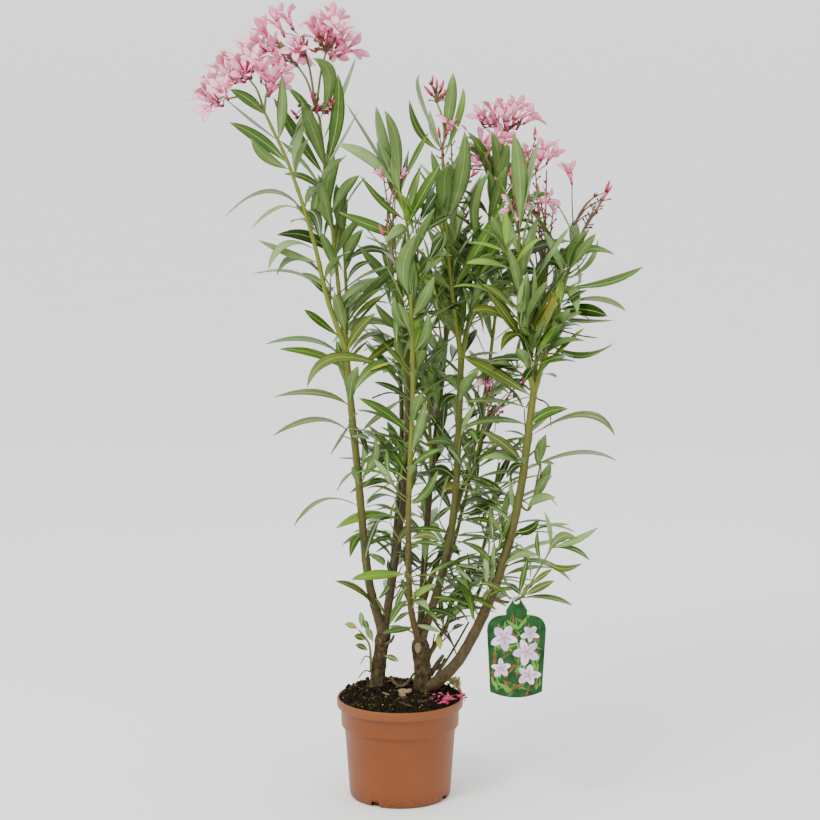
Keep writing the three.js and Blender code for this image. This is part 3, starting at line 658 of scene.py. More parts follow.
# Leaves marked one by one in the photograph, by stem. Each row holds pixels, for the foot of the leaf, its
# middle, its tip (u and v each) and its width, then its tone and how much further back its tip lies than
# its foot (mm). Rows of five hold the fraction of the stem, the middle and tip as points and a width (mm)
# Rows of the dark tone carry painted shade, for leaves that lie in shadow
PLACED = {
    "stem_centre_fork": (
        (433, 414, 445, 436, 456, 463, 9, SHADED_DARK, -30),
    ),
    "stem_left_outer": (
        (264, 112, 250, 100, 230, 89, 8, MID, -20), (276, 141, 255, 124, 226, 99, 3, MID, 10),
        (287, 165, 262, 140, 229, 122, 9, MID, -30), (291, 171, 266, 157, 251, 138, 8, MID, -60),
        (278, 141, 282, 112, 282, 73, 8, SHADED_DARK, -50), (304, 215, 268, 189, 222, 220, 4, MID, -10),
        (305, 214, 282, 205, 251, 229, 3, BLUE, -40), (305, 210, 316, 214, 320, 240, 8, SHADED_DARK, -40),
        (319, 264, 290, 254, 258, 240, 7, BLUE, -40), (314, 250, 286, 242, 268, 270, 6, BLUE, -60),
        (325, 293, 294, 272, 252, 274, 3, BLUE, -30), (341, 338, 320, 322, 304, 310, 7, MID, -60),
    ),
    "stem_left_inner": (
        (323, 137, 306, 106, 288, 88, 7, MID, -20), (323, 180, 297, 138, 273, 97, 9, MID, -40),
        (324, 172, 314, 132, 301, 102, 11, FRESH, -70), (327, 101, 331, 76, 312, 58, 11, BLUE, -60),
        (330, 168, 338, 120, 338, 73, 11, MID, -30), (332, 142, 341, 100, 356, 57, 4, BLUE, 20),
        (332, 167, 342, 142, 358, 110, 3, BLUE, 60), (325, 196, 306, 177, 283, 174, 6, MID, 20),
        (328, 198, 311, 189, 305, 208, 7, BLUE, -40), (332, 216, 327, 182, 341, 157, 12, SHADED_DARK, -50),
        (334, 216, 343, 190, 360, 175, 8, MID, -60), (334, 257, 310, 236, 276, 235, 9, SHADED_DARK, -50),
        (337, 301, 302, 256, 276, 276, 5, MID, -50),
    ),
    "stem_middle_side": (
        (397, 190, 372, 147, 345, 101, 3, MID, 10), (398, 192, 371, 158, 336, 144, 9, BLUE, -20),
        (407, 240, 376, 228, 338, 212, 8, MID, -40), (404, 219, 382, 203, 360, 175, 6, MID, -40),
        (398, 188, 383, 145, 376, 106, 8, BLUE, -50), (399, 190, 397, 145, 384, 110, 9, MID, -60),
        (402, 192, 414, 160, 429, 132, 5, MID, -40), (409, 232, 400, 228, 384, 243, 8, BLUE, -50),
        (408, 226, 422, 196, 441, 163, 8, MID, -60),
    ),
    "stem_left_back": (
        (345, 263, 350, 246, 363, 229, 9, SHADED_DARK, -50), (347, 287, 355, 268, 372, 262, 5, SHADED_DARK, -40),
        (346, 330, 362, 310, 384, 295, 4, OLIVE, -50),
    ),
    "stem_middle_rear": (
        (394, 250, 372, 247, 346, 262, 7, SHADED_DARK, -20), (396, 293, 380, 270, 360, 247, 8, MID, -40),
        (397, 292, 356, 289, 336, 314, 7, BLUE, -30), (400, 281, 360, 284, 342, 309, 7, BLUE, -60),
        (402, 333, 366, 319, 332, 344, 8, BLUE, -30), (403, 331, 390, 322, 375, 303, 8, MID, -40),
        (404, 336, 388, 345, 362, 366, 8, OLIVE, -60), (403, 350, 374, 332, 349, 355, 4, OLIVE, -40),
        (406, 459, 396, 440, 387, 421, 8, OLIVE, -50), (403, 396, 384, 412, 362, 431, 5, OLIVE, -40),
        (403, 372, 399, 352, 396, 335, 8, FRESH, -50), (406, 395, 450, 377, 476, 393, 6, MID, -40),
        (404, 521, 370, 514, 335, 529, 8, FRESH, -80), (399, 536, 370, 532, 342, 545, 4, OLIVE, -60),
        (406, 470, 378, 452, 337, 433, 3, OLIVE, -40), (405, 482, 378, 463, 336, 458, 3, OLIVE, -40),
        (405, 492, 384, 480, 364, 486, 4, MID, -60), (402, 505, 383, 494, 366, 505, 3, MID, -70),
        (402, 521, 385, 517, 367, 526, 4, MID, -15), (396, 541, 383, 538, 369, 546, 5, MID, -20),
        (396, 541, 386, 546, 375, 553, 3, SHADED_DARK, 10), (393, 575, 389, 568, 388, 559, 4, SHADED_DARK, -15),
        (396, 578, 388, 588, 378, 599, 5, MID, -15), (398, 560, 408, 548, 420, 545, 5, MID, -20),
    ),
    "stem_left": (
        (344, 360, 312, 339, 264, 345, 5, MID, -20), (345, 376, 322, 355, 278, 349, 7, MID, -40),
        (350, 407, 318, 392, 272, 398, 6, OLIVE, -20), (352, 436, 318, 418, 272, 436, 5, OLIVE, -20),
        (347, 352, 356, 332, 376, 313, 9, OLIVE, -70), (351, 402, 351, 385, 358, 366, 11, OLIVE, -80),
        (358, 508, 324, 498, 293, 527, 3, OLIVE, -30), (363, 538, 355, 538, 350, 558, 8, MID, -60),
        (378, 616, 362, 592, 334, 581, 5, OLIVE, -50), (357, 490, 357, 475, 352, 467, 8, MID, -60),
        (361, 480, 376, 456, 373, 434, 9, BLUE, -80), (366, 552, 378, 558, 384, 566, 6, MID, -90),
        (362, 486, 365, 452, 361, 434, 4, BLUE, -15), (366, 536, 383, 546, 394, 563, 3, SHADED_DARK, -20),
        (369, 594, 378, 602, 386, 617, 3, OLIVE, -15), (350, 420, 340, 440, 330, 455, 3, SHADED_DARK, 10),
        (357, 470, 345, 478, 336, 492, 3, OLIVE, 10),
    ),
    "stem_middle_front": (
        (409, 383, 340, 354, 307, 388, 9, OLIVE, -50), (410, 397, 384, 362, 352, 394, 8, MID, -60),
        (410, 402, 396, 390, 373, 382, 5, SHADED_DARK, -50), (411, 437, 388, 414, 358, 398, 8, MID, -60),
        (410, 298, 402, 266, 419, 232, 12, FRESH, -70), (408, 574, 377, 575, 351, 580, 9, FRESH, -70),
        (411, 628, 399, 630, 383, 633, 6, MID, -80), (410, 600, 420, 592, 437, 584, 7, FRESH, -80),
        (411, 601, 420, 601, 429, 610, 6, BLUE, -70), (410, 505, 426, 494, 438, 470, 8, MID, -60),
        (411, 470, 424, 456, 440, 449, 7, MID, -60), (411, 452, 419, 428, 426, 401, 9, FRESH, -70),
        (411, 540, 426, 534, 440, 541, 8, OLIVE, -70), (412, 352, 426, 336, 428, 312, 9, MID, -60),
        (411, 330, 398, 318, 394, 296, 9, MID, -70), (411, 320, 424, 300, 434, 276, 9, SHADED_DARK, -40),
        (411, 436, 382, 416, 356, 410, 3, MID, -10), (409, 446, 378, 434, 345, 428, 2.5, OLIVE, 10),
        (403, 503, 384, 487, 366, 489, 3, OLIVE, 10), (409, 455, 399, 440, 389, 424, 3, SHADED_DARK, 15),
        (409, 583, 400, 597, 394, 617, 5, MID, 20), (409, 604, 402, 606, 394, 611, 3, OLIVE, 20),
        (410, 612, 402, 616, 393, 624, 4, SHADED_DARK, 25), (413, 626, 428, 627, 441, 633, 5, BLUE, -10),
        (408, 545, 425, 542, 444, 547, 5, MID, -20), (410, 577, 435, 576, 462, 592, 2.5, OLIVE, -10),
        (404, 480, 392, 470, 378, 468, 4, MID, 10),
    ),
    "shoot_tall": (
        (439, 152, 418, 132, 409, 99, 7, MID, -40), (0.98, mm((26, 18, 1050)), mm((31, 12, 1076)), 6, BLUE),
        (1.0, photo_point(450, 106, 2), photo_point(453, 72, -14), 13.5, FRESH),
        (0.8, photo_point(460.5, 114, 24), photo_point(462.5, 87.4, 32), 9.5, FRESH),
        (440, 151, 433, 132, 430, 110, 6, BLUE, 20),
    ),
    "stem_centre_left": (
        (447, 222, 462, 180, 465, 131, 12.4, MID, -60), (446, 224, 444, 190, 447, 164, 13, MID, -80),
        (449, 233, 440, 238, 433, 262, 11, BLUE, -50), (454, 292, 478, 250, 508, 196, 9, MID, -60),
        (452, 292, 440, 280, 424, 276, 8, SHADED_DARK, -60),
    ),
    "stem_centre_right": (
        (503, 200, 488, 162, 467, 131, 8, MID, -50), (505, 196, 499, 160, 491, 131, 9, FRESH, -70),
        (480, 252, 472, 208, 490, 172, 8, MID, -60), (490, 226, 496, 198, 487, 170, 9, SHADED_DARK, -70),
        (473, 300, 493, 252, 522, 204, 9, MID, -50), (465, 340, 478, 305, 483, 336, 11, OLIVE, -70),
        (472, 285, 482, 288, 481, 301, 9, BLUE, -60),
    ),
    "stem_right_left": (
        (517, 224, 520, 176, 513, 134, 11.7, FRESH, -60), (518, 232, 527, 190, 540, 137, 6, BLUE, -30),
        (521, 339, 498, 312, 472, 311, 7, OLIVE, -40), (523, 345, 508, 318, 487, 289, 9, OLIVE, -40),
        (526, 353, 524, 310, 527, 272, 13, OLIVE, -60), (520, 300, 533, 296, 534, 262, 7, SHADED_DARK, -70),
        (527, 352, 548, 316, 558, 287, 8, YELLOW, -50), (522, 336, 508, 335, 501, 352, 8, OLIVE, -70),
        (526, 361, 505, 358, 484, 362, 6, SHADED_DARK, 20),
    ),
    "twig_centre": (
        (437, 308, 456, 292, 479, 268, 9, MID, -60), (438, 314, 452, 322, 461, 343, 9, BLUE, -80),
        (437, 308, 429, 296, 419, 285, 7, BLUE, -60), (437, 307, 443, 286, 444, 261, 10, MID, -71),
        (436, 309, 432, 290, 428, 262, 8, MID, -31),
    ),
    "stem_centre_rear": (
        (444, 366, 432, 340, 413, 326, 9, BLUE, -80), (424, 566, 412, 556, 396, 552, 7, SHADED_DARK, -80),
        (426, 540, 408, 528, 398, 545, 8, OLIVE, -70), (425, 556, 446, 544, 460, 556, 7, MID, -80),
        (430, 495, 446, 478, 470, 471, 8, SHADED_DARK, -70), (431, 480, 446, 486, 462, 484, 9, YELLOW, -60),
    ),
    "stem_right_outer": (
        (578, 243, 536, 246, 473, 281, 8, SHADED_DARK, -60), (567, 278, 548, 258, 530, 286, 8, SHADED_DARK, -40),
        (565, 288, 606, 284, 644, 266, 7, MID, -40), (567, 282, 582, 250, 615, 255, 7, MID, -40),
        (568, 280, 590, 264, 598, 239, 5, BLUE, 10), (561, 306, 598, 298, 626, 311, 5, OLIVE, -40),
        (560, 311, 586, 309, 608, 316, 10, SHADED_DARK, -70), (557, 318, 584, 322, 614, 320, 4, OLIVE, -50),
        (549, 344, 582, 358, 615, 342, 6, MID, -50), (563, 291, 574, 292, 577, 314, 10, BLUE, -60),
        (546, 356, 552, 330, 571, 308, 12, MID, -80), (569, 272, 572, 250, 589, 229, 9, MID, -50),
        (566, 280, 556, 254, 544, 231, 7, BLUE, -40),
    ),
    "stem_right_middle": (
        (547, 276, 520, 270, 494, 284, 8, SHADED_DARK, -70),
    ),
    "stem_right": (
        (490, 590, 493, 565, 495, 540, 5, BLUE, -15), (478, 604, 485, 597, 492, 588, 6, SHADED_DARK, -15),
        (533, 397, 497, 374, 463, 357, 11, OLIVE, -60), (533, 408, 497, 401, 463, 402, 4, MID, -60),
        (533, 430, 546, 412, 568, 409, 9, MID, -60), (529, 425, 497, 419, 461, 428, 6, MID, -60),
        (523, 468, 507, 446, 482, 431, 9, OLIVE, -50), (524, 466, 503, 456, 482, 459, 6, BLUE, -40),
        (530, 436, 584, 412, 615, 436, 6, OLIVE, -40), (525, 470, 576, 452, 618, 461, 4, OLIVE, -40),
        (524, 466, 514, 466, 506, 478, 7, SHADED_DARK, -50), (506, 574, 538, 560, 572, 582, 5, MID, -60),
        (518, 531, 529, 531, 540, 519, 8, SHADED_DARK, -70), (506, 572, 518, 554, 537, 557, 6, BLUE, -70),
        (514, 528, 502, 513, 488, 506, 4, BLUE, -15), (527, 437, 515, 432, 503, 431, 2, SHADED_DARK, 20),
        (526, 438, 507, 441, 486, 450, 2.5, OLIVE, 10), (516, 520, 512, 500, 509, 476, 4, BLUE, -10),
        (519, 541, 527, 553, 530, 580, 3, BLUE, -25), (506, 552, 493, 556, 484, 566, 4, SHADED_DARK, 20),
        (511, 545, 522, 552, 528, 566, 4, MID, -20),
    ),
    "twig_right_mid": (
        (541, 463, 541, 450, 546, 434, 8, SHADED_DARK, -40), (538, 468, 537, 455, 540, 438.6, 6, SHADED_DARK, -20),
        (535, 484, 545, 476, 551, 462, 8, SHADED_DARK, -60), (531, 504, 540, 487, 549, 474, 8, SHADED_DARK, -60),
        (526, 513, 538, 498, 556, 498, 8, BLUE, -80),
    ),
    "stem_centre_front": (
        (438, 620, 441, 615, 449, 610, 7, SHADED_DARK, -10), (460, 404, 464, 386, 480, 370, 10, OLIVE, -60),
        (459, 396, 446, 398, 440, 412, 8, SHADED_DARK, -60), (459, 476, 484, 481, 503, 493, 6, SHADED_DARK, -60),
        (454, 522, 478, 519, 501, 527, 4, MID, -60), (449, 541, 475, 546, 491, 562, 5, MID, -70),
        (450, 537, 476, 536, 495, 540, 3, MID, -30), (443, 570, 456, 562, 479, 553, 5, SHADED_DARK, -60),
        (443, 571, 466, 588, 472, 620, 7, MID, -90), (444, 569, 484, 558, 511, 594, 5, MID, -50),
        (456, 480, 442, 468, 428, 472, 8, SHADED_DARK, -60), (458, 450, 444, 440, 425, 444, 7, MID, -70),
        (459, 440, 470, 430, 478, 445, 7, MID, -70), (451, 536, 435, 529, 412, 529, 5, MID, -20),
        (459, 443, 480, 443, 497, 443, 2.5, OLIVE, -15), (459, 358, 480, 354, 500, 353, 3, OLIVE, 15),
        (453, 505, 443, 512, 432, 524, 5, SHADED_DARK, 10), (456, 470, 466, 480, 473, 496, 4, SHADED_DARK, -10),
    ),
    "stem_right_thin": (
        (443, 603, 460, 598, 476, 601, 3, MID, -10), (441, 606, 454, 597, 463, 589, 5, SHADED_DARK, -20),
        (468, 517, 486, 508, 505, 489, 7, SHADED_DARK, -60), (446, 568, 478, 572, 492, 592, 6, SHADED_DARK, -50),
        (467, 516, 486, 528, 496, 542, 2.5, SHADED_DARK, 10), (463, 504, 472, 497, 490, 501, 3, OLIVE, -20),
        (475, 478, 469, 468, 461, 459, 4, BLUE, -15), (479, 464, 481, 448, 481, 431, 4, OLIVE, -10),
    ),
    "twig_right_low": (
        (553, 547, 574, 542, 599, 527, 6, BLUE, -20), (552, 548, 573, 548, 590, 561, 5, MID, -20),
        (546, 556, 560, 536, 578, 539, 8, FRESH, -60), (545, 560, 562, 570, 583, 563, 6, OLIVE, -60),
        (528, 586, 541, 577, 553, 569, 5, OLIVE, -40), (552, 552, 550, 532, 544, 511, 4, BLUE, 10),
        (542, 564, 537, 548, 538, 529, 4, MID, 10),
    ),
    "label_twig": (
        (519, 597, 548, 597, 573, 606, 5, MID, -60), (518, 594, 527, 588, 535, 584, 4, OLIVE, -10),
    ),
}


def marked_leaf(points, foot_u, foot_v, middle_u, middle_v, tip_u, tip_v, wide, tone, deeper):
    """The fraction of the stem where a marked leaf starts, its middle, tip, width (mm) and tone."""
    along = nearest_along(points, foot_u, foot_v)
    depth = curve_point(points, along).y / MM
    middle = photo_point(middle_u, middle_v, depth + 0.4 * deeper)
    tip = photo_point(tip_u, tip_v, depth + deeper)
    return round(along, 2), middle, tip, round(wide * MM_PER_PIXEL), tone


for name, leaves in PLACED.items():
    points = limbs[name][0]
    for row in leaves:
        along, middle, tip, width, tone = row if len(row) == 5 else marked_leaf(points, *row)
        placed_leaf(tone, curve_point(points, along), middle, tip, width * MM)


def side_shoot(base, axis, out, length, leaf_length, droop):
    """A short leafy twig that leaves a stem and turns upwards."""
    lean = (out + axis * rng.uniform(0.6, 1.3)).normalized()
    middle = base + lean * length * 0.5
    tip = middle + (lean + UP * 0.7).normalized() * length * 0.5
    points = [base, middle, tip]
    if not inside(tip) or not in_front_outline(tip):
        return
    taper(twig_pile, points, max(5, int(length / 0.008)), 0.0015, 0.0009, 7)
    whorls = max(2, int(length / 0.022))
    for k in range(whorls):
        along = (k + 1) / whorls
        whorl(curve_point(points, along), curve_heading(points, along), rng.uniform(0, math.tau),
              rng.choice((2, 3, 3)), leaf_length * (0.95 - 0.25 * along), 66 - 34 * along, droop, 0.0012)


def leaf_out(name):
    """Whorls of leaves along a stem, wide and drooping low down, steep near its tip."""
    points, (first, last) = limbs[name]
    start, spacing, length, spread_low, spread_high, droop_low, droop_high, shoots = LEAFING[name]
    total = curve_length(points)
    count = max(2, int(total * (1 - start) / (spacing * CLOSER)))
    turn = rng.uniform(0, math.tau)
    for k in range(count + 1):
        share = k / count
        along = start + (1 - start) * share
        axis = curve_heading(points, along)
        spread = spread_low + (spread_high - spread_low) * share
        droop = droop_low + (droop_high - droop_low) * share
        leaves = 3 if share > 0.5 or rng.random() < 0.45 else 2
        size = length * (1 - 0.25 * share ** 3)
        turn += math.pi / 3 + rng.uniform(-0.15, 0.15)
        radius = first + (last - first) * along
        whorl(curve_point(points, along), axis, turn, leaves, size, spread, droop, radius)
    shoots = round(shoots * MORE_SHOOTS)
    for k in range(shoots):
        along = start * 0.8 + (0.92 - start * 0.8) * (k + rng.uniform(0.1, 0.9)) / shoots
        axis = curve_heading(points, along)
        out = spoke(axis, rng.uniform(0, math.tau))
        side_shoot(curve_point(points, along), axis, out, rng.uniform(0.030, 0.070),
                   rng.uniform(0.070, 0.095), rng.uniform(0.3, 0.8))


for name in LEAFING:
    leaf_out(name)

# Extra leaves where the photograph is fuller: the stem, from where to where along it, how many, and
# -1 or 1 for the left or the right of the front view
FILLERS = (
    ("stem_left", 0.38, 0.74, 7, 1),
    ("stem_left", 0.40, 0.60, 3, -1),
    ("stem_middle_rear", 0.28, 0.58, 3, -1),
    ("stem_centre_front", 0.10, 0.42, 5, 1),
    ("stem_centre_front", 0.50, 0.78, 7, 1),
    ("stem_centre_rear", 0.10, 0.30, 3, 1),
    ("stem_right_rear", 0.15, 0.95, 9, 1),
    ("stem_right_thin", 0.30, 0.90, 5, 1),
    ("stem_right", 0.62, 0.98, 10, 1),
    ("stem_right", 0.55, 0.80, 4, -1),
    ("stem_centre_right", 0.20, 0.95, 9, 1),
    ("stem_centre_right", 0.20, 0.80, 5, -1),
    ("stem_right_left", 0.15, 0.70, 5, -1),
    ("stem_right_outer", 0.15, 0.80, 5, 1),
)
for name, start, stop, count, hand in FILLERS:
    points, (first, last) = limbs[name]
    for k in range(count):
        along = start + (stop - start) * (k + rng.random()) / count
        axis = curve_heading(points, along)
        out = Vector((hand, rng.uniform(-0.9, 0.4), 0))
        out = (out - axis * out.dot(axis)).normalized()
        angle = math.radians(rng.uniform(78, 60) - 25 * along)
        heading = axis * math.cos(angle) + out * math.sin(angle)
        foot = curve_point(points, along)
        seeded_leaf(pick_tone(foot.z), foot + out * first * 0.6, heading, out.cross(axis),
                    rng.uniform(0.075, 0.115), rng.uniform(0.013, 0.018), out * rng.uniform(0.0, 0.4),
                    rng.uniform(0.3, 0.9), rng.uniform(0.15, 0.5), rng.uniform(-0.9, 0.9))


# Flowers: five twisted petals on a funnel, a small calyx and a toothed crown in the throat
PETAL_ROWS = 8
PETAL_EDGE = (-1.0, -0.5, 0.0, 0.5, 1.0, 0.5, 0.0, -0.5)
FACE, BACK, DEEP, THROAT, WILTED, ROSE = 0, 1, 2, 3, 4, 5
flower_pile, bud_pile, calyx_pile, stalk_pile = Pile(), Pile(), Pile(), Pile()


def petal(base, facing, out, length, openness, curl, tilt, tones=(FACE, BACK, ROSE, DEEP)):
    """A petal that leaves the throat steeply, bends outwards and widens to a slanted tip.

    tones: the tip's upper side, its underside, the middle and the root.
    """
    tip_tone, back_tone, middle_tone, root_tone = tones
    sideways = out.cross(facing)
    centre = base + out * length * 0.12
    root = centre.copy()
    rings = []
    for row in range(PETAL_ROWS):
        u = (row + 0.5) / PETAL_ROWS
        lean = 1.5 * openness * (0.35 + 0.65 * u) + curl * u * u
        ahead = out * math.sin(lean) + facing * math.cos(lean)
        up = facing * math.sin(lean) - out * math.cos(lean)
        centre = centre + ahead * length / PETAL_ROWS
        half = length * (0.03 + 0.30 * u * (1 - u ** 4))
        middle = centre - sideways * length * 0.20 * u * u
        ring = []
        for k, share in enumerate(PETAL_EDGE):
            cup = 0.25 * half * share * share + tilt * half * share * (0.3 + 0.7 * u)
            under = -0.0003 if k > 4 else 0.0
            slant = ahead * length * 0.14 * share * u
            ring.append(middle + sideways * share * half + slant + up * (cup + under))
        rings.append(ring)
    tip = sum(rings[-1][1:4], Vector()) / 3 + ahead * length * 0.05
    start = len(flower_pile.faces)
    count = len(PETAL_EDGE)
    flower_pile.rings(rings, [tip_tone] * 4 + [back_tone] * 4, root, tip)
    for row, kind in enumerate((root_tone, middle_tone, middle_tone)):
        for k in range(count):
            flower_pile.kinds[start + row * count + k] = kind


def calyx(base, facing, size):
    """Five pointed sepals."""
    for out in spokes(facing, 5):
        edge = facing.cross(out) * size * 0.2
        foot = base + out * size * 0.16
        belly = base + facing * size * 0.45 + out * size * 0.36
        rings = [[p - edge, p + edge, p - out * size * 0.1] for p in (foot, belly)]
        calyx_pile.rings(rings, [0] * 3, base, base + facing * size + out * size * 0.42)


def flower(base, facing, size, openness, tones=(FACE, BACK, ROSE, DEEP)):
    """A flower whose calyx sits at base and whose petals open towards facing."""
    sides, steps = 10, 5
    route = [base + facing * size * 0.08 * k for k in range(steps + 1)]
    radii = [size * (0.035 + 0.09 * (k / steps) ** 2) for k in range(steps + 1)]
    outs = spokes(facing, sides)
    rings = [[centre + out * radius for out in outs] for centre, radius in zip(route, radii)]
    start = len(flower_pile.faces)
    mouth = route[-1]
    flower_pile.rings(rings, [tones[3]] * sides, route[0], mouth - facing * size * 0.1)
    for k in range(start + 3 * sides, start + steps * sides):
        flower_pile.kinds[k] = tones[2]
    first_turn = rng.uniform(0, math.tau)
    tilt = rng.uniform(0.25, 0.6)
    for k in range(5):
        out = spoke(facing, first_turn + math.tau * k / 5 + rng.uniform(-0.12, 0.12))
        petal(mouth - facing * size * 0.05, facing, out, size * rng.uniform(0.54, 0.62),
              openness * rng.uniform(0.8, 1.15), rng.uniform(0.0, 0.5), tilt * rng.uniform(0.6, 1.3), tones)
        tooth = mouth + out * size * 0.07
        edge = facing.cross(out) * size * 0.035
        crown = [tooth - edge, tooth + edge, tooth - out * size * 0.012]
        flower_pile.rings([crown, [p + facing * size * 0.06 for p in crown]], [THROAT] * 3,
                          tooth, tooth + facing * size * 0.11 + out * size * 0.02)
    calyx(base - facing * size * 0.02, facing, size * 0.13)


def bud(base, facing, length):
    """A twisted spindle bud in its calyx."""
    sides, rows = 7, 8
    rings = []
    for row in range(1, rows):
        s = row / rows
        radius = length * (0.045 + 0.085 * math.sin(math.pi * s ** 0.75))
        ring = []
        for k in range(sides):
            turn = math.tau * k / sides
            swell = radius * (1 + 0.14 * math.cos(5 * turn))
            ring.append(base + facing * length * s + spoke(facing, turn + 1.6 * s) * swell)
        rings.append(ring)
    bud_pile.rings(rings, [0] * sides, base, base + facing * length)
    calyx(base - facing * length * 0.04, facing, length * 0.28)


def stalk(start, end, lift, first, last, pile=stalk_pile):
    """A thin stalk from start to end that leaves along lift."""
    gap = (end - start).length
    middle = start + lift * gap * 0.45 + (end - start) * 0.18
    taper(pile, [start, middle, end], max(4, int(gap / 0.006)), first, last, 6)


def spent_stalk(start, end, stubs, with_bud):
    """A thin brown-red stalk with the short stubs of fallen flowers."""
    lift = (end - start).normalized()
    stalk(start, end, lift, 0.0014, 0.0009)
    for k in range(stubs):
        foot = start + (end - start) * (0.35 + 0.6 * k / stubs)
        out = (spoke(lift, 2.4 * k) + lift * 0.8).normalized()
        tip = foot + out * rng.uniform(0.005, 0.012)
        stalk(foot, tip, out, 0.0009, 0.0008)
        calyx(tip, out, 0.004)
    if with_bud:
        bud(end, lift, rng.uniform(0.014, 0.02))


# Flower heads, marked in the photograph: each place is its pixel (u and v) and its depth (mm). HUBS: each
# fork, what it grows from, where along it, and its place. FLOWERS and BUDS: the middle of every open
# flower and every bud, by the fork or stem that bears it
HUBS = {
    "head_left": ("stem_left_outer", 1, (264, 112, -56)),
    "left_low": ("head_left", 0, (228, 99, -64)),
    "left_high": ("head_left", 0, (250, 80, -52)),
    "left_near": ("head_left", 0, (267, 92, -80)),
    "head_crown": ("stem_left_inner", 1, (316, 112, 22)),
    "crown_left": ("head_crown", 0, (299, 68, 14)),
    "crown_top": ("head_crown", 0, (303, 48, 22)),
    "crown_right": ("head_crown", 0, (326, 52, 24)),
    "head_right": ("stem_centre_right", 1, (505, 134, 66)),
    "right_near": ("stem_right_left", 1, (521, 200, -60)),
    "right_side": ("stem_centre_right", 0.9, (486, 158, 20)),
    "middle_top": ("stem_middle_side", 1, (396, 186, -30)),
    "tall_top": ("shoot_tall", 1, (446, 138, 10)),
    "tall_buds": ("tall_top", 0, (437, 103, 20)),
    "far_right": ("stem_right_outer", 1, (573, 226, -26)),
}
FLOWERS = {
    "left_low": ((203, 93, -58), (208, 105, -84), (212, 81, -76), (222, 89, -100)),
    "left_high": ((220, 66, -56), (231, 80, -88), (237, 59, -62), (246, 48, -44), (228, 72, -26),
        (243, 71, -96), (254, 58, -84)),
    "left_near": ((268, 77, -98), (276, 83, -72), (261, 66, -100), (281, 71, -60)),
    "crown_left": ((262, 30, 16), (271, 47, -12), (254, 40, -16), (262, 53, 18), (277, 60, -10)),
    "crown_top": ((286, 15, 24), (275, 20, 52), (296, 48, -14)),
    "crown_right": ((312, 24, 30), (324, 20, 4), (334, 18, 40), (317, 34, 58), (346, 37, 16),
        (352, 47, 42), (340, 28, -14)),
    "head_right": ((482, 115, 58), (492, 108, 84), (505, 106, 60), (517, 105, 90), (506, 117, 46),
        (525, 112, 78), (535, 115, 60), (495, 120, 66), (516, 115, 54)),
    "right_near": ((525, 149, -44), (545, 146, -66), (552, 153, -40), (524, 159, -30), (541, 157, -62),
        (515, 206, -96), (549, 199, -50)),
    "right_side": ((481, 140, 50), (496, 137, 62), (504, 137, 44), (486, 147, 40), (475, 164, 40),
        (499, 183, 30), (482, 152, 66)),
    "middle_top": ((380, 174, -44), (391, 173, -16), (403, 174, -40)),
    "tall_top": ((452, 120, -4),),
    "far_right": ((569, 170, -30),),
    "stem_right_thin": ((488, 379, -54),),
}
BUDS = {
    "left_low": ((216, 96, -84),),
    "left_high": ((223, 54, -60), (240, 66, -74), (235, 76, -60), (249, 66, -62)),
    "left_near": ((272, 70, -90),),
    "crown_left": ((266, 33, 8), (273, 39, 2), (277, 41, 22), (283, 55, 10)),
    "crown_top": ((300, 42, 16), (307, 43, 30), (282, 32, 30), (298, 56, 0)),
    "crown_right": ((318, 33, 14), (322, 38, 34), (326, 40, 10), (333, 44, 32), (312, 50, 8),
        (336, 24, 20)),
    "head_crown": ((312, 96, 6), (332, 103, 0), (293, 112, -20), (318, 108, 10), (324, 106, 34),
        (328, 112, 14)),
    "head_right": ((495, 124, 60), (508, 122, 50), (519, 125, 70), (480, 119, 70)),
    "tall_top": ((441, 158, -6),),
    "tall_buds": ((433, 79, 20), (442, 85.5, 26), (437, 83, 12), (428, 90, 24), (445, 93, 18),
        (435.5, 91.5, 22)),
    "stem_centre_rear": ((467, 214, 60), (470, 244, 50)),
    "stem_middle_side": ((388, 228, -46), (391, 234, -40)),
    "far_right": ((608, 186, -20), (604, 196, -24)),
    "right_near": ((535, 133, -40), (547, 214, -60)),
    "stem_right_thin": ((525, 380, -46),),
}

# Flowers with nothing behind them, by their fork: width in metres and openness
SMALL = {
    "head_right": (0.040, 0.80),
    "right_near": (0.039, 0.85),
    "right_side": (0.038, 0.80),
    "tall_top": (0.044, 1.10),
    "middle_top": (0.025, 0.35),
    "far_right": (0.040, 0.42),
    "stem_right_thin": (0.034, 1.1),
}

# Share of the flowers that have another one behind them
HEAD_FILL = 0.22

forks = {}


def scattered(low, high):
    return Vector(rng.uniform(low, high) for _ in range(3))


def filled(name, hub):
    """The middles of a fork's flowers, with seeded ones deeper in the head among them."""
    middles = photo_points(*FLOWERS.get(name, ()))
    if name not in SMALL:
        for middle in middles[:]:
            if rng.random() < HEAD_FILL:
                shift = Vector((rng.uniform(-14, 14), rng.uniform(14, 32), rng.uniform(-12, 8))) * MM
                middles.append(middle.lerp(hub, rng.uniform(0.1, 0.4)) + shift)
    return middles


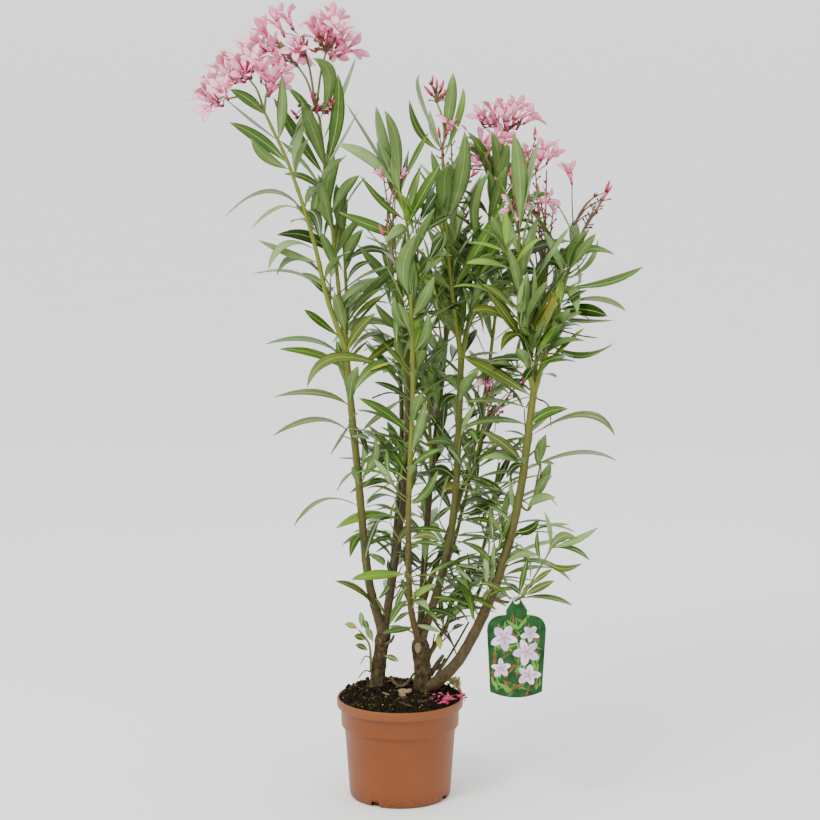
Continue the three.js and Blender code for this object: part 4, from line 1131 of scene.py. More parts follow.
def grow_heads():
    """Stalks to each fork, then a pedicel to each flower and bud, which look outwards."""
    for name, (source, along, spot) in HUBS.items():
        start = forks[source] if source in forks else curve_point(limbs[source][0], along)
        forks[name] = photo_point(*spot)
        reach = forks[name] - start
        if reach.length > 0.002:
            stalk(start, forks[name], (reach.normalized() + UP * 0.6).normalized(), 0.0019, 0.0013,
                  twig_pile)
    for name in dict.fromkeys([*FLOWERS, *BUDS]):
        hub = forks[name] if name in forks else curve_point(limbs[name][0], 1)
        size, openness = SMALL.get(name, (0.046, 0.66))
        for centre in filled(name, hub):
            away = (centre - hub).normalized()
            look = (eye - centre).normalized() * rng.uniform(-0.35, 0.20)
            facing = (away * 1.2 + look + UP * 0.3 + scattered(-0.25, 0.25)).normalized()
            width = size * rng.uniform(0.9, 1.08)
            base = centre - facing * width * 0.56
            flower(base, facing, width, openness * rng.uniform(0.7, 1.3))
            stalk(hub, base - facing * 0.001, (away + UP * 0.4).normalized(), 0.0010, 0.0008)
        for spot in BUDS.get(name, ()):
            centre = photo_point(*spot)
            away = (centre - hub).normalized()
            facing = (away + UP * 0.5 + scattered(-0.3, 0.3)).normalized()
            length = rng.uniform(0.013, 0.021)
            base = centre - facing * length * 0.5
            bud(base, facing, length)
            stalk(hub, base, (away + UP * 0.4).normalized(), 0.0010, 0.0008)
            for _ in range(2):
                end = hub + (centre - hub) * rng.uniform(0.45, 0.85) + scattered(-0.009, 0.009)
                way = (end - hub).normalized()
                stalk(hub, end, (way + UP * 0.4).normalized(), 0.0010, 0.0009)
                calyx(end, way, rng.uniform(0.004, 0.008))


grow_heads()

# Spent stalks in millimetres: where they start, then each one's tip, its number of stubs, and whether
# a bud is left on it
SPENT = {
    (256, -30, 836): ((300, -20, 906, 6, True), (286, -8, 890, 5, False), (291, -30, 896, 6, False)),
    (222, 42, 820): ((206, 50, 905, 7, True), (182, 30, 880, 6, False)),
    (208, 0, 740): ((187, 0, 917, 7, False),),
    (210, 5, 760): ((197, 0, 946, 9, False),),
    (212, 10, 770): ((214, 5, 939, 8, False),),
    (214, 14, 780): ((204, 0, 874, 6, True),),
    (216, 20, 790): ((226, 10, 896, 6, False),),
    (169, -94, 850): ((160, -60, 930, 5, True),),
    (82, 120, 850): ((60, 112, 985, 6, True), (74, 100, 1050, 7, True), (96, 100, 960, 7, False)),
    (64, 16, 900): ((104, -10, 930, 6, True), (98, 10, 880, 4, False)),
    (122, -40, 566): ((128, -50, 640, 5, True), (176, -40, 636, 6, True), (138, -48, 626, 5, False),
        (150, -44, 593, 4, False)),
    (16, -80, 765): ((-22, -70, 848, 5, True),),
    (30, 100, 760): ((20, 80, 905, 6, False),),
    (-4, 58, 800): ((-24, 48, 925, 6, True),),
}
for start, stalks in SPENT.items():
    for *end, stubs, with_bud in stalks:
        spent_stalk(mm(start), mm(end), stubs, with_bud)

# Flowers that lie on the soil near the right side of the rim, marked in the photograph: pixel (u and v),
# height and size in millimetres. Then withered ones, by their places, and loose petals
FALLEN = ((440, 703, 156, 18), (445, 700, 157, 16), (454, 699, 157, 15), (461, 698, 157, 17),
    (464, 695, 157, 15), (387, 680, 161, 15))
WITHERED = ((82, 12, 163), (88, 18, 161), (78, 26, 165), (91, 6, 157))
LOOSE_PETALS = 16
for *mark, size in FALLEN:
    way = Vector((rng.uniform(-1, 1), rng.uniform(-1, 0.2), rng.uniform(0.0, 0.5))).normalized()
    flower(lying_point(*mark) - way * 0.004, way, size * MM, rng.uniform(0.3, 0.8), (DEEP,) * 4)
for spot in WITHERED:
    way = Vector((rng.uniform(-0.6, 1), rng.uniform(-0.6, 0.6), rng.uniform(0.2, 1))).normalized()
    flower(mm(spot) - way * 0.006, way, 0.022, rng.uniform(0.1, 0.4), (WILTED,) * 4)
for _ in range(LOOSE_PETALS):
    spot = mm((rng.uniform(40, 84), rng.uniform(-58, -18), 157.5))
    if math.hypot(spot.x, spot.y) > 0.088:
        continue
    way = rng.uniform(0, math.tau)
    out = Vector((math.cos(way), math.sin(way), 0.1)).normalized()
    petal(spot, UP, out, rng.uniform(0.006, 0.010), 1.2, 0.1, 0.4,
          rng.choice(((DEEP,) * 4, (DEEP,) * 4, (ROSE, DEEP, DEEP, DEEP))))

# A sucker at the foot of the left stool: its route, and small blunt leaves from base to tip
SUCKER = ((-44, 14, 185), (-45, 8, 221), (-50, 6, 237), (-62, 2, 253))
SUCKER_LEAVES = (
    ((-63, 0, 255), (-83, -6, 264), 8, YELLOW),
    ((-51, 4, 237), (-69, -10, 247), 9, OLIVE),
    ((-48, 6, 220), (-67, -8, 233), 8, OLIVE),
    ((-57, 2, 255), (-59, 10, 279), 8, BLUE),
    ((-47, 4, 248), (-55, 0, 270), 8, MID),
    ((-41, 8, 233), (-51, 0, 258), 9, BLUE),
    ((-24, 10, 211), (-2, -4, 206), 8, OLIVE),
    ((57, -10, 251), (60, -24, 229), 9, YELLOW),
)
taper(twig_pile, metres(SUCKER), 16, 0.0021, 0.00114, 8)
for base, tip, width, tone in SUCKER_LEAVES:
    foot, end = metres((base, tip))
    placed_leaf(tone, foot, (foot + end) / 2 + UP * 0.002, end, width * MM)


# Finishes of the plant, each as its name, the two colours that it wanders between, the scale of the
# wandering and the roughness
LEAF_TONES = {
    MID: ((0.040, 0.097, 0.004), (0.064, 0.136, 0.008)),
    SHADED_DARK: ((0.012, 0.034, 0.001), (0.022, 0.054, 0.003)),
    # painted shade: the dark tone is the mid green darkened, for leaves that lie in shadow
    FRESH: ((0.116, 0.228, 0.012), (0.165, 0.295, 0.022)),
    BLUE: ((0.150, 0.245, 0.068), (0.220, 0.335, 0.112)),
    OLIVE: ((0.066, 0.094, 0.004), (0.100, 0.130, 0.009)),
    YELLOW: ((0.255, 0.240, 0.020), (0.335, 0.310, 0.036)),
}
LEAF_UNDERSIDE = ("leaf_underside", (0.100, 0.178, 0.038), (0.146, 0.234, 0.060), 30, 0.6)
MIDRIB = ("leaf_midrib", (0.190, 0.290, 0.070), (0.265, 0.375, 0.105), 60, 0.5)
STOOL_BARK = ("stool_bark", (0.016, 0.011, 0.004), (0.086, 0.060, 0.024), 120, 0.85)
PALE_FLECK = (0.130, 0.098, 0.052)
TWIG = ("twig_green", (0.100, 0.120, 0.018), (0.140, 0.150, 0.028), 60, 0.6)
PETALS = (
    ("petal_face", (0.820, 0.310, 0.450), (0.900, 0.500, 0.620), 55, 0.6),
    ("petal_back", (0.780, 0.235, 0.380), (0.870, 0.390, 0.520), 70, 0.6),
    ("petal_deep", (0.360, 0.018, 0.075), (0.600, 0.085, 0.190), 160, 0.6),
    ("petal_throat", (0.740, 0.280, 0.400), (0.820, 0.420, 0.520), 90, 0.6),
    ("petal_wilted", (0.260, 0.200, 0.070), (0.480, 0.400, 0.200), 120, 0.7),
    ("petal_rose", (0.700, 0.125, 0.260), (0.800, 0.240, 0.380), 80, 0.6),
)
BUD_RED = ("bud_red", (0.370, 0.014, 0.042), (0.520, 0.060, 0.110), 120, 0.5)
CALYX_RED = ("calyx_red", (0.110, 0.016, 0.009), (0.200, 0.042, 0.022), 150, 0.6)
STALK_BROWN = ("stalk_brown", (0.110, 0.056, 0.025), (0.170, 0.100, 0.045), 60, 0.6)

# Stem bark: its two colours, and the heights in metres between which it turns green
STEM_BARKS = {
    "stem_bark": ((0.044, 0.030, 0.010), (0.078, 0.056, 0.020), 0.28, 0.85),
    "stem_dark": ((0.044, 0.027, 0.009), (0.078, 0.052, 0.018), 0.50, 1.0),
    "stem_two_tone": ((0.066, 0.041, 0.010), (0.104, 0.070, 0.020), 0.38, 0.56),
    "stem_green": ((0.070, 0.058, 0.016), (0.100, 0.086, 0.024), 0.30, 0.70),
}
YOUNG_GREEN = (0.160, 0.185, 0.024)
LENTICEL = (0.150, 0.120, 0.055)


def stem_material(name):
    low, high, green_from, green_to = STEM_BARKS[name]
    material = node_material(name, low, high, 160, 0.6, bump=0.6, bump_scale=700, specular=0.25)
    mix_over(material, above(material, green_from, green_to), YOUNG_GREEN)
    mix_over(material, patches(material, 420, 0.66, 0.72), LENTICEL)
    return material


def finish_plant():
    under_side = node_material(*LEAF_UNDERSIDE, specular=0.3)
    midrib = node_material(*MIDRIB)
    masses = [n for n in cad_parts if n.startswith("foliage")]
    for order, (tone, pile) in enumerate(sorted(leaf_piles.items())):
        top = node_material(f"leaf_{tone}", *LEAF_TONES[tone], 22, 0.38, bump=0.25, bump_scale=900,
                            specular=0.35)
        piece = pile.piece(f"leaves_{tone}", [top, under_side, midrib])
        claim(piece, masses[order::len(leaf_piles)])
    bark = node_material(*STOOL_BARK, bump=1.0, bump_scale=420, specular=0.2)
    mix_over(bark, patches(bark, 260, 0.60, 0.72), PALE_FLECK)
    claim(stool_pile.piece("stools", [bark]), STOOLS)
    barks = [stem_material(name) for name in ("stem_bark", "stem_dark", "stem_two_tone")]
    claim(wood_pile.piece("woody_stems", barks), WOODY)
    thin = [name for name, *_ in STEMS if name not in WOODY]
    claim(green_pile.piece("green_stems", [stem_material("stem_green")]), thin)
    claim(twig_pile.piece("twigs", [node_material(*TWIG)]))
    petals = [node_material(*row) for row in PETALS]
    heads = ("flowers_left", "flowers_crown", "flowers_right")
    claim(flower_pile.piece("flowers", petals), heads)
    claim(bud_pile.piece("flower_buds", [node_material(*BUD_RED)]), ("buds_right",))
    claim(calyx_pile.piece("calyces", [node_material(*CALYX_RED)]))
    claim(stalk_pile.piece("flower_stalks", [node_material(*STALK_BROWN)]))


finish_plant()


# Pot: a turned shell with a rolled lip, a collar and four notches at its foot. The outline holds radii
# and heights in millimetres, from the foot up the outside and down the inside
POT_SIDES = 144
POT_HEIGHT = 152
FLOOR_THICK = 3
NOTCH_TURNS = (-29, 61, 151, 241)
POT_OUTLINE = (
    (70.0, 0), (73.1, 0.6), (75.1, 2.0), (76.1, 4.6), (76.9, 14), (80.1, 60), (83.3, 104),
    (83.8, 107.2), (85.4, 108.4), (87.4, 108.8), (88.3, 110.2), (88.5, 114), (88.9, 130), (89.1, 136.6),
    (90.0, 138.0), (92.8, 138.2), (94.3, 138.9), (94.9, 140.6), (95.0, 148), (94.8, 150.6),
    (93.9, 151.8), (92.6, POT_HEIGHT), (91.6, 151.2), (91.2, 149), (90.6, 144), (88.4, 140), (86.4, 136),
    (86.2, 116), (82.0, 106), (73.9, FLOOR_THICK),
)
TERRACOTTA = ("terracotta_plastic", (0.160, 0.040, 0.006), (0.192, 0.051, 0.010), 9, 0.46)
STAIN, GRIT = (0.145, 0.048, 0.020), (0.060, 0.030, 0.016)
# painted light: a lighter colour for the lip and rim top, which face the light from above
LIP_PAINTED_LIGHT, FOOT_DIRT = (0.182, 0.053, 0.012), (0.024, 0.012, 0.006)


def notch_cutter(turn):
    """A rounded block in the pot's foot, at so many degrees from the front."""
    bpy.ops.mesh.primitive_cube_add(size=1)
    cutter = bpy.context.object
    angle = math.radians(turn)
    cutter.scale = (0.014, 0.020, 0.016)
    cutter.rotation_euler = (0, 0, angle)
    cutter.location = (0.076 * math.sin(angle), -0.076 * math.cos(angle), 0)
    rounding = cutter.modifiers.new("rounding", "BEVEL")
    rounding.width = 0.12
    rounding.segments = 3
    return cutter


def make_pot():
    pile = Pile()
    rings = []
    for radius, height in POT_OUTLINE:
        ring = []
        for k in range(POT_SIDES):
            turn = math.tau * k / POT_SIDES
            wobble = 1 + 0.0022 * math.sin(2 * turn + 0.6) * (height / POT_HEIGHT)
            ring.append(mm((radius * wobble * math.cos(turn), radius * wobble * math.sin(turn), height)))
        rings.append(ring)
    pile.rings(rings, [0] * POT_SIDES, mm((0, 0, 0)), mm((0, 0, FLOOR_THICK)))
    plastic = node_material(*TERRACOTTA, bump=0.12, bump_scale=260, specular=0.32)
    foot = above(plastic, 0.024, 0.001)
    mix_over(plastic, patches(plastic, 38, 0.64, 0.80), STAIN)
    mix_over(plastic, patches(plastic, 520, 0.70, 0.74), GRIT)
    # painted light on the lip: everything above the collar is lightened, as where light falls on the top
    mix_over(plastic, above(plastic, 0.1375, 0.1385), LIP_PAINTED_LIGHT)
    mix_over(plastic, both(plastic, foot, patches(plastic, 420, 0.54, 0.60)), FOOT_DIRT)
    pot = pile.piece("nursery_pot", [plastic])
    cutters = [notch_cutter(turn) for turn in NOTCH_TURNS]
    for cutter in cutters:
        cut = pot.modifiers.new("notch", "BOOLEAN")
        cut.operation = "DIFFERENCE"
        cut.solver = "EXACT"
        cut.object = cutter
    bpy.context.view_layer.update()
    shaped = bpy.data.meshes.new_from_object(pot.evaluated_get(bpy.context.evaluated_depsgraph_get()))
    pot.modifiers.clear()
    pot.data = shaped
    for cutter in cutters:
        bpy.data.objects.remove(cutter)
    claim(pot, ("pot",))


make_pot()


# Soil: a rough dark mound with clods, moss and litter, in metres
SOIL_SIDES, SOIL_STEPS = 120, 34
SOIL_RADIUS, SOIL_FOOT_RADIUS = 0.0912, 0.0858
SOIL_FOOT, SOIL_EDGE = 0.120, 0.138
CLODS, MOSS_TUFTS, STICKS, CRUMBS = 1500, 900, 60, 60
PEAT = ("peat", (0.006, 0.0042, 0.0026), (0.026, 0.018, 0.011), 260, 0.95)
MOSS = ("moss", (0.026, 0.038, 0.004), (0.072, 0.088, 0.012), 300, 0.95)


def soil_height(x, y):
    spread = min(1.0, math.hypot(x, y) / SOIL_RADIUS)
    mound = 0.1508 + 0.0105 * (1 - spread ** 2.4)
    mound += 0.004 * math.exp(-((x + 0.045) ** 2 + (y - 0.050) ** 2) / 0.0012)
    spot = Vector((x, y, 0.3))
    return mound + 0.0022 * noise.noise(spot * 55) + 0.0016 * noise.noise(spot * 160)


def on_soil(x, y, lift=0.0):
    return Vector((x, y, soil_height(x, y) + lift))


def disc_place(reach, inner=0.0):
    """A random x and y within reach of the pot's axis, outside the inner share of that disc."""
    radius, turn = reach * math.sqrt(rng.uniform(inner, 1)), rng.uniform(0, math.tau)
    return radius * math.cos(turn), radius * math.sin(turn)


def lump(pile, centre, size, stretch=0.4):
    """A rough pebble-like clod."""
    squash = [size * rng.uniform(1 - stretch, 1 + stretch) for _ in range(3)]
    pivot = Vector((rng.random(), rng.random(), 1)).normalized()
    spin = Matrix.Rotation(rng.uniform(0, math.tau), 3, pivot)
    rings = []
    for polar, shift in ((0.9, 0.0), (2.1, 0.5)):
        ring = []
        for k in range(5):
            spot = spoke(UP, math.tau * (k + shift) / 5) * math.sin(polar) + UP * math.cos(polar)
            spot *= rng.uniform(0.75, 1.2)
            ring.append(centre + spin @ Vector(c * s for c, s in zip(spot, squash)))
        rings.append(ring)
    peak = spin @ UP * squash[2]
    pile.rings(rings, [0] * 5, centre + peak, centre - peak)


def make_soil():
    pile = Pile()
    turns = [math.tau * k / SOIL_SIDES for k in range(SOIL_SIDES)]
    rings = []
    for height in (SOIL_FOOT, SOIL_EDGE):
        rings.append([spoke(UP, turn) * SOIL_FOOT_RADIUS + UP * height for turn in turns])
    for step in range(SOIL_STEPS, 0, -1):
        radius = SOIL_RADIUS * step / SOIL_STEPS
        rings.append([on_soil(radius * math.cos(turn), radius * math.sin(turn)) for turn in turns])
    pile.rings(rings, [0] * SOIL_SIDES, UP * SOIL_FOOT, on_soil(0, 0))
    for _ in range(CLODS):
        x, y = disc_place(0.0905)
        size = rng.uniform(0.0009, 0.0028) if rng.random() < 0.85 else rng.uniform(0.0028, 0.0048)
        lump(pile, on_soil(x, y, size * 0.3), size)
    peat = node_material(*PEAT, bump=1.0, bump_scale=900, specular=0.05)
    claim(pile.piece("soil_mound", [peat]), ("potting_soil",))


def make_moss():
    pile = Pile()
    for _ in range(MOSS_TUFTS):
        x, y = disc_place(0.089, 0.25)
        if noise.noise(Vector((x, y, 0.9)) * 38) >= 0.05:
            lump(pile, on_soil(x, y, 0.0012), rng.uniform(0.0009, 0.0019))
    moss = node_material(*MOSS, bump=0.8, specular=0.05)
    claim(pile.piece("moss", [moss]))


def curled_leaf(pile, base, heading, side, length, width, curl):
    """A dry leaf curled along its length, thin and closed."""
    rows = 10
    rings = []
    for row in range(1, rows):
        s = row / rows
        ahead = turned(heading, side, -curl * s)
        centre = base + (heading * math.sin(max(curl * s, 1e-3)) / curl
                         + side.cross(heading) * (1 - math.cos(curl * s)) / curl) * length
        up = ahead.cross(side) * -1
        half = width * 0.5 * math.sin(math.pi * s) ** 0.7
        lift = half * 0.55
        rings.append([centre - side * half + up * lift, centre, centre + side * half + up * lift,
                      centre - up * 0.0004])
    pile.rings(rings, [0] * 4, base, rings[-1][1] + heading * 0.001)


def knob(pile, centre, axis, wide, tall, thick):
    """A flattened round face, such as an old cut, square to axis."""
    side = UP.cross(axis).normalized() * wide
    front = axis.cross(side) * tall / wide
    rings = []
    for step in range(1, 6):
        polar = math.pi * step / 6
        middle = centre - axis * thick * math.cos(polar)
        turns = [math.tau * k / 14 for k in range(14)]
        rings.append([middle + (side * math.cos(t) + front * math.sin(t)) * math.sin(polar) for t in turns])
    pile.rings(rings, [0] * 14, centre - axis * thick, centre + axis * thick)


# Dry twigs and snags: points along each, by their places (mm) or by pixel and depth in the photograph,
# then the first and last radius (mm)
SNAGS = (
    (metres(((-44, 14, 185), (-53, 6, 189), (-63, 2, 179))), 1.1, 0.7),
    (metres(((-42, 14, 205), (-52, 4, 212), (-60, 0, 200))), 1.0, 0.6),
    (metres(((-26, 10, 228), (-14, 0, 236), (-9, -4, 246))), 2.6, 1.8),
    (photo_points((430, 675, 6), (437, 664, 8), (443, 655, 10)), 4.6, 2.6),
    (photo_points((434, 670, 8), (442, 665, 13), (445, 658, 15)), 3.4, 1.8),
    (photo_points((425, 672, 6), (431, 654, 14), (434.7, 634, 22)), 1.5, 1.0),
    (photo_points((431, 682, 0), (449, 656, 8), (461, 636, 18), (469, 622, 30)), 2.0, 1.4),
    (photo_points((431, 612, -10), (438, 626, 2), (446, 634, 8), (453, 645, 10)), 2.4, 1.4),
    (photo_points((447, 631, 12), (453, 645, 10), (457, 657, 8)), 1.2, 0.8),
    (metres(((-41, 20, 602), (-18, 34, 608), (6, 44, 604))), 1.3, 0.9),
    (metres(((108, -20, 491), (116, -16, 520), (122, -20, 545))), 1.5, 0.8),
    (metres(((168, -70, 515), (162, -62, 502), (162, -60, 489))), 2.0, 1.4),
    (metres(((226, -50, 712), (256, -54, 704), (284, -60, 700))), 1.3, 0.9),
    (metres(((196, -58, 613), (216, -44, 600), (221, -40, 569))), 1.3, 0.8),
    (metres(((86, -20, 426), (92, -14, 436), (89, -14, 447))), 1.8, 1.2),
    (metres(((33, -43, 157), (42, -38, 158), (51, -34, 158))), 0.9, 0.7),
    (photo_points((391, 676, 22), (395, 683, 12), (402, 686, 6), (408, 682, 6), (414, 673, 12)), 2.4, 1.6),
)

# Dry leaves on the soil: foot (mm), direction, side, length and width (mm), and how far each curls
DRY_LEAVES = (
    ((-25, 52, 164), (0.92, -0.35, -0.12), (0.3, 0.9, 0.25), 46, 15, -1.3),
    ((7, -40, 157), (-0.35, 0.10, 0.93), (0.93, 0.10, 0.35), 20, 10, 0.5),
    ((-3, -37, 171), (0.95, -0.10, -0.25), (0.25, 0.05, 0.97), 19, 9, 0.6),
    ((-1, -39, 165), (0.70, -0.30, -0.55), (0.60, 0.20, 0.77), 17, 8, -0.6),
    ((2, -16, 161), (0.85, -0.35, 0.35), (-0.2, 0.3, 0.93), 18, 8, 1.0),
    ((-24, 32, 163), (0.86, 0.05, 0.50), (0.3, 0.8, -0.5), 46, 8, 1.5),
    ((-12, -30, 161), (-0.8, -0.3, 0.05), (-0.3, 0.9, 0.1), 18, 7, 0.7),
    ((46, -30, 157), (0.7, -0.1, 0.05), (0.1, 0.9, 0), 22, 7, 0.8),
    ((70, 40, 159), (0.5, -0.3, 0.4), (0.5, 0.8, 0), 18, 8, 1.2),
)

# Crumbs of dry leaf, and the old cut on the right stool, in millimetres
DRY_CRUMBS = ((84, 43, 157.5), (90, 36, 156), (-20, 65, 160), (20, 58, 162))
OLD_CUT = (27, -12, 230)
CUT_WIDE, CUT_TALL, CUT_THICK = 5.2, 8.6, 1.2
DRY_LEAF = ("dry_leaf", (0.240, 0.145, 0.060), (0.500, 0.350, 0.185), 90, 0.8)
DRY_STICK = ("dry_stick", (0.040, 0.028, 0.011), (0.104, 0.076, 0.034), 120, 0.9)
HEALED_CUT = ("healed_cut", (0.150, 0.106, 0.050), (0.280, 0.210, 0.112), 260, 0.8)


def make_litter():
    dry, wood_bits, scars = Pile(), Pile(), Pile()
    for base, heading, side, length, width, curl in DRY_LEAVES:
        curled_leaf(dry, mm(base), Vector(heading).normalized(), Vector(side).normalized(),
                    length * MM, width * MM, curl)
    for _ in range(STICKS):
        x, y = disc_place(0.080)
        way = rng.uniform(0, math.tau)
        a = on_soil(x, y, 0.002)
        b = a + spoke(UP, way) * rng.uniform(0.008, 0.030)
        if math.hypot(b.x, b.y) > 0.088:
            continue
        thick = rng.uniform(0.0004, 0.0009)
        taper(wood_bits, [a, on_soil(b.x, b.y, 0.0025)], 4, thick, thick, 5)
    for _ in range(CRUMBS):
        x, y = disc_place(0.088)
        lump(dry, on_soil(x, y, 0.0022), rng.uniform(0.0005, 0.0012), stretch=0.6)
    for points, first, last in SNAGS:
        taper(wood_bits, points, 18, first * MM, last * MM, 9, bark_relief(0.0003, [4, 9, 14]))
    for spot in DRY_CRUMBS:
        lump(dry, mm(spot), 0.0026)
    cut_face = mm(OLD_CUT)
    knob(scars, cut_face, (eye - cut_face).normalized(), CUT_WIDE * MM, CUT_TALL * MM, CUT_THICK * MM)
    claim(dry.piece("dry_leaves", [node_material(*DRY_LEAF, bump=0.5)]))
    claim(wood_bits.piece("sticks", [node_material(*DRY_STICK)]))
    claim(scars.piece("old_cut", [node_material(*HEALED_CUT, bump=0.5)]))


make_soil()
make_moss()
make_litter()


# Label: a hanging card with a generic print of leaves and blossom, no lettering. Millimetres from the
# middle of its hole: how far above or below it each part of the outline lies, and half widths
LABEL_HOLE = curve_point(limbs["label_twig"][0], 0.75) - mm((0, 0, 1.2))
TOP_ABOVE, TOP_HALF = 7, 7
HANGER_BELOW, HANGER_HALF = 12, 17
SHOULDER_BELOW = 19
BODY_BELOW, BODY_HALF = 42, 44.5
FOOT_BELOW, FOOT_HALF = 137, 39.5
FOOT_SAG = 9
LABEL_THICK = 0.8
HOLE_RADIUS = 3.6
WHITE_EDGE = 1.7
PRINT_BACK = -LABEL_THICK - 0.1

# Inks: the card, its ground, three leaf colours, two petal colours, line, twig, heart and flush
CARD, GROUND, PETAL, LINE, HEART, FLUSH = 0, 1, 5, 7, 9, 10
BLADE_INKS = (2, 2, 3, 3, 4, 8, 8)
INKS = (
    ("card_white", (0.780, 0.800, 0.780), (0.820, 0.840, 0.820), 20, 0.3),
    ("print_ground", (0.004, 0.030, 0.005), (0.014, 0.080, 0.014), 60, 0.32),
    ("print_leaf_a", (0.026, 0.200, 0.022), (0.064, 0.330, 0.050), 120, 0.32),
    ("print_leaf_b", (0.004, 0.050, 0.008), (0.012, 0.095, 0.016), 120, 0.32),
    ("print_leaf_c", (0.090, 0.220, 0.025), (0.160, 0.330, 0.045), 120, 0.32),
    ("print_petal_a", (0.500, 0.370, 0.540), (0.640, 0.520, 0.680), 120, 0.32),
    ("print_petal_b", (0.640, 0.540, 0.680), (0.760, 0.690, 0.790), 120, 0.32),
    ("print_streak", (0.360, 0.200, 0.380), (0.440, 0.280, 0.460), 120, 0.32),
    ("print_twig", (0.110, 0.050, 0.012), (0.190, 0.095, 0.030), 120, 0.32),
    ("print_heart", (0.560, 0.180, 0.060), (0.640, 0.300, 0.110), 120, 0.32),
    ("print_blush", (0.460, 0.290, 0.460), (0.560, 0.380, 0.540), 120, 0.32),
)

# Printed blossoms, with place and size in millimetres, over so many blades
BLADES = 150
BLOSSOMS = ((20, -49, 13), (-18, -55, 19), (15, -76, 19), (-22, -100, 14), (18, -110, 16))


def bow_points(a, middle, b, steps=10):
    """Points of a quadratic curve from a to b."""
    points = []
    for k in range(steps + 1):
        t = k / steps
        weights = ((1 - t) ** 2, 2 * t * (1 - t), t * t)
        points.append(tuple(sum(w * p[axis] for w, p in zip(weights, (a, middle, b))) for axis in (0, 1)))
    return points


def card_outline(inset):
    """The card's outline in millimetres from its hole, drawn in by inset."""
    top_half, hanger, body, foot_half = (half - inset for half in
                                         (TOP_HALF, HANGER_HALF, BODY_HALF, FOOT_HALF))
    top, foot = TOP_ABOVE - inset, inset - FOOT_BELOW
    shoulder = -SHOULDER_BELOW - inset
    left = bow_points((-top_half + 3, top), (-top_half, top), (-top_half, top - 3), 4)
    left += [(-hanger, -HANGER_BELOW - inset)]
    left += bow_points((-hanger, shoulder), (-body, shoulder), (-body, -BODY_BELOW - inset))
    left += bow_points((-foot_half, foot), (0, foot - 2 * FOOT_SAG), (foot_half, foot), 18)[:10]
    return left + [(-x, z) for x, z in reversed(left[:-1])]


def plate(pile, outline, front, back, kind, hole=()):
    """A flat sheet of the outline between two depths, in millimetres in front of the card."""
    loops = [loop for loop in (outline, hole) if loop]
    corners = [p for loop in loops for p in loop]
    triangles = tessellate_polygon([[Vector((x, z, 0)) for x, z in loop] for loop in loops])
    count = len(corners)
    points = [LABEL_HOLE + mm((x, depth, z)) for depth in (front, back) for x, z in corners]
    faces = [tuple(t) for t in triangles] + [tuple(count + v for v in reversed(t)) for t in triangles]
    start = 0
    for loop in loops:
        for k in range(len(loop)):
            a, b = start + k, start + (k + 1) % len(loop)
            faces.append((a, b, b + count, a + count))
        start += len(loop)
    pile.add(points, faces, [kind] * len(faces))


def oval(cx, cz, long, wide, turn, point=0.0, steps=12):
    """A rounded or pointed leaf or petal shape."""
    shape = []
    for k in range(steps):
        phi = math.tau * k / steps
        x, z = long * math.cos(phi), wide * math.sin(phi) * (1 - point * abs(math.cos(phi)) ** 2)
        shape.append((cx + x * math.cos(turn) - z * math.sin(turn),
                      cz + x * math.sin(turn) + z * math.cos(turn)))
    return shape


def print_blossom(pile, draw, x, z, size, level):
    """Five petals, each with a flush and a line, and a heart, on top of one another."""
    start = draw.uniform(0, math.tau)
    for k in range(5):
        turn = start + math.tau * k / 5
        reach = size * draw.uniform(0.50, 0.60)
        wide = size * draw.uniform(0.27, 0.36)
        lean = turn + draw.uniform(-0.15, 0.15)
        for away, long, half, slant, point, front, kind in (
            (reach, reach * 0.95, wide, lean, 0.2, 0.008 * k, PETAL + k % 2),
            (size * 0.30, size * 0.26, size * 0.13, turn, 0.0, 0.046 + 0.002 * k, FLUSH),
            (size * 0.36, size * 0.26, size * 0.035, turn, 0.0, 0.060 + 0.002 * k, LINE),
        ):
            shape = oval(x + away * math.cos(turn), z + away * math.sin(turn), long, half, slant, point)
            plate(pile, shape, level - front, PRINT_BACK, kind)
    plate(pile, oval(x, z, size * 0.12, size * 0.12, 0), level - 0.075, PRINT_BACK, HEART)


def make_label():
    pile = Pile()
    face = -LABEL_THICK
    plate(pile, card_outline(0), face, 0, CARD, oval(0, 0, HOLE_RADIUS, HOLE_RADIUS, 0, steps=20))
    rim = HOLE_RADIUS + 1.2
    plate(pile, card_outline(WHITE_EDGE), face - 0.12, face, GROUND, oval(0, 0, rim, rim, 0, steps=20))
    draw = random.Random(SEED + 1)
    for k in range(BLADES):
        x, z = draw.uniform(-34, 34), draw.uniform(-134, -30)
        turn = draw.uniform(0.2, 2.9)
        if abs(x) < 23:
            shape = oval(x, z, draw.uniform(7, 16), draw.uniform(0.9, 2.8), turn, 0.6)
        else:
            shape = oval(x, z, 8, 1.8, draw.uniform(1.2, 1.9), 0.5)
        plate(pile, shape, face - 0.16 - 0.0018 * k, PRINT_BACK, draw.choice(BLADE_INKS))
    for order, (x, z, size) in enumerate(BLOSSOMS):
        print_blossom(pile, draw, x, z, size, face - 0.46 - 0.09 * order)
    inks = [node_material(*row, specular=0.5 if row[0] == "card_white" else 0.2) for row in INKS]
    claim(pile.piece("hanging_label", inks, smooth=False), ("plant_label",))


make_label()


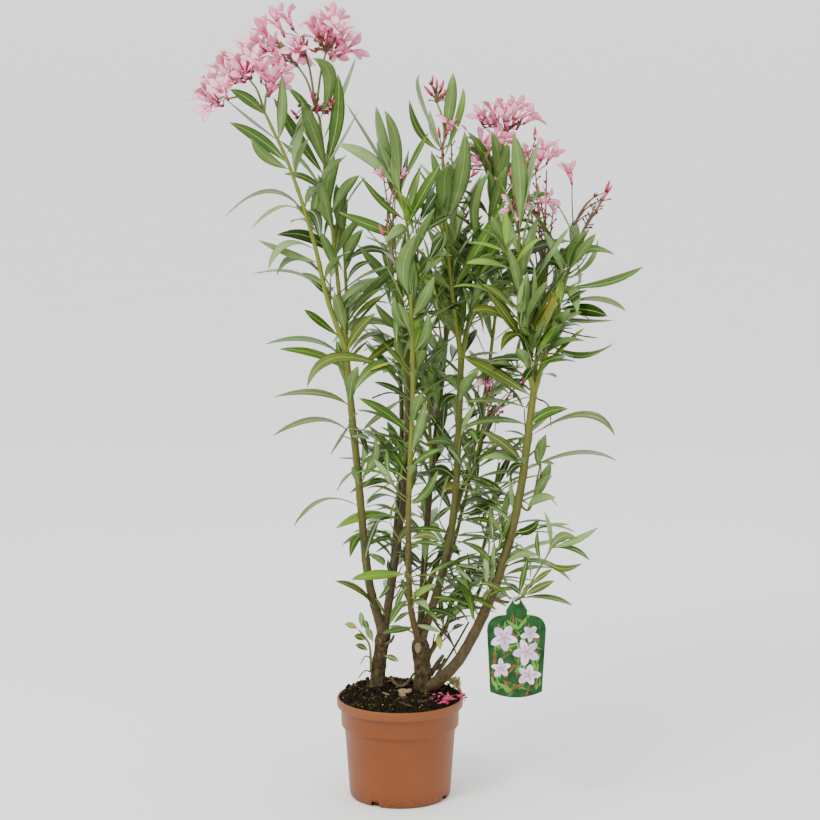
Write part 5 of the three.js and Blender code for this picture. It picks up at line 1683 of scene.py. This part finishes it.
# Studio: a wide pale floor that meets a slightly brighter sky at the same tone, and soft lamps, each with
# its place, width, power and colour
HORIZON = 1.5
SKY_RISE = 0.375
SKY_COLOUR = (0.985, 1.0, 0.992, 1)
FLOOR_REACH = 200.0
FLOOR = ("studio_floor", (0.795, 0.800, 0.795), (0.805, 0.810, 0.805), 2, 0.8)
LAMPS = (
    ("key", (-1.5, -2.0, 3.0), 1.2, 95, (1.0, 0.985, 0.95)),
    ("back", (0.9, 2.2, 2.6), 1.6, 12, (1.0, 1.0, 1.0)),
)
LAMPS_AIM = Vector((0, 0, 0.6))


def make_studio():
    mesh = bpy.data.meshes.new("studio_floor")
    corners = [(x * FLOOR_REACH, y * FLOOR_REACH, 0) for x, y in ((-1, -1), (1, -1), (1, 1), (-1, 1))]
    mesh.from_pydata(corners, [], [(0, 1, 2, 3)])
    mesh.materials.append(node_material(*FLOOR, specular=0.0))
    floor = bpy.data.objects.new("studio_floor", mesh)
    bpy.context.scene.collection.objects.link(floor)
    world = bpy.data.worlds.new("soft_white_room")
    world.use_nodes = True
    sky = world.node_tree.nodes["Background"]
    sky.inputs["Color"].default_value = SKY_COLOUR
    glow = span(world, height_output(world, "Generated"), 0.0, 1.0, HORIZON, HORIZON * (1 + SKY_RISE))
    world.node_tree.links.new(glow, sky.inputs["Strength"])
    bpy.context.scene.world = world
    for name, place, size, watts, colour in LAMPS:
        lamp = bpy.data.lights.new(name, "AREA")
        lamp.shape = "DISK"
        lamp.size = size
        lamp.energy = watts
        lamp.color = colour
        holder = bpy.data.objects.new(name, lamp)
        holder.location = place
        holder.rotation_euler = (LAMPS_AIM - Vector(place)).to_track_quat("-Z", "Y").to_euler()
        bpy.context.scene.collection.objects.link(holder)


def make_camera():
    lens = bpy.data.cameras.new("photo_camera")
    lens.sensor_width = SENSOR
    lens.lens = FOCAL_PIXELS / FRAME_PIXELS * SENSOR
    camera = bpy.data.objects.new("photo_camera", lens)
    camera.location = CAMERA_AT
    camera.rotation_euler = (math.radians(90 - CAMERA_PITCH), 0, 0)
    bpy.context.scene.collection.objects.link(camera)
    bpy.context.scene.camera = camera


make_studio()
make_camera()
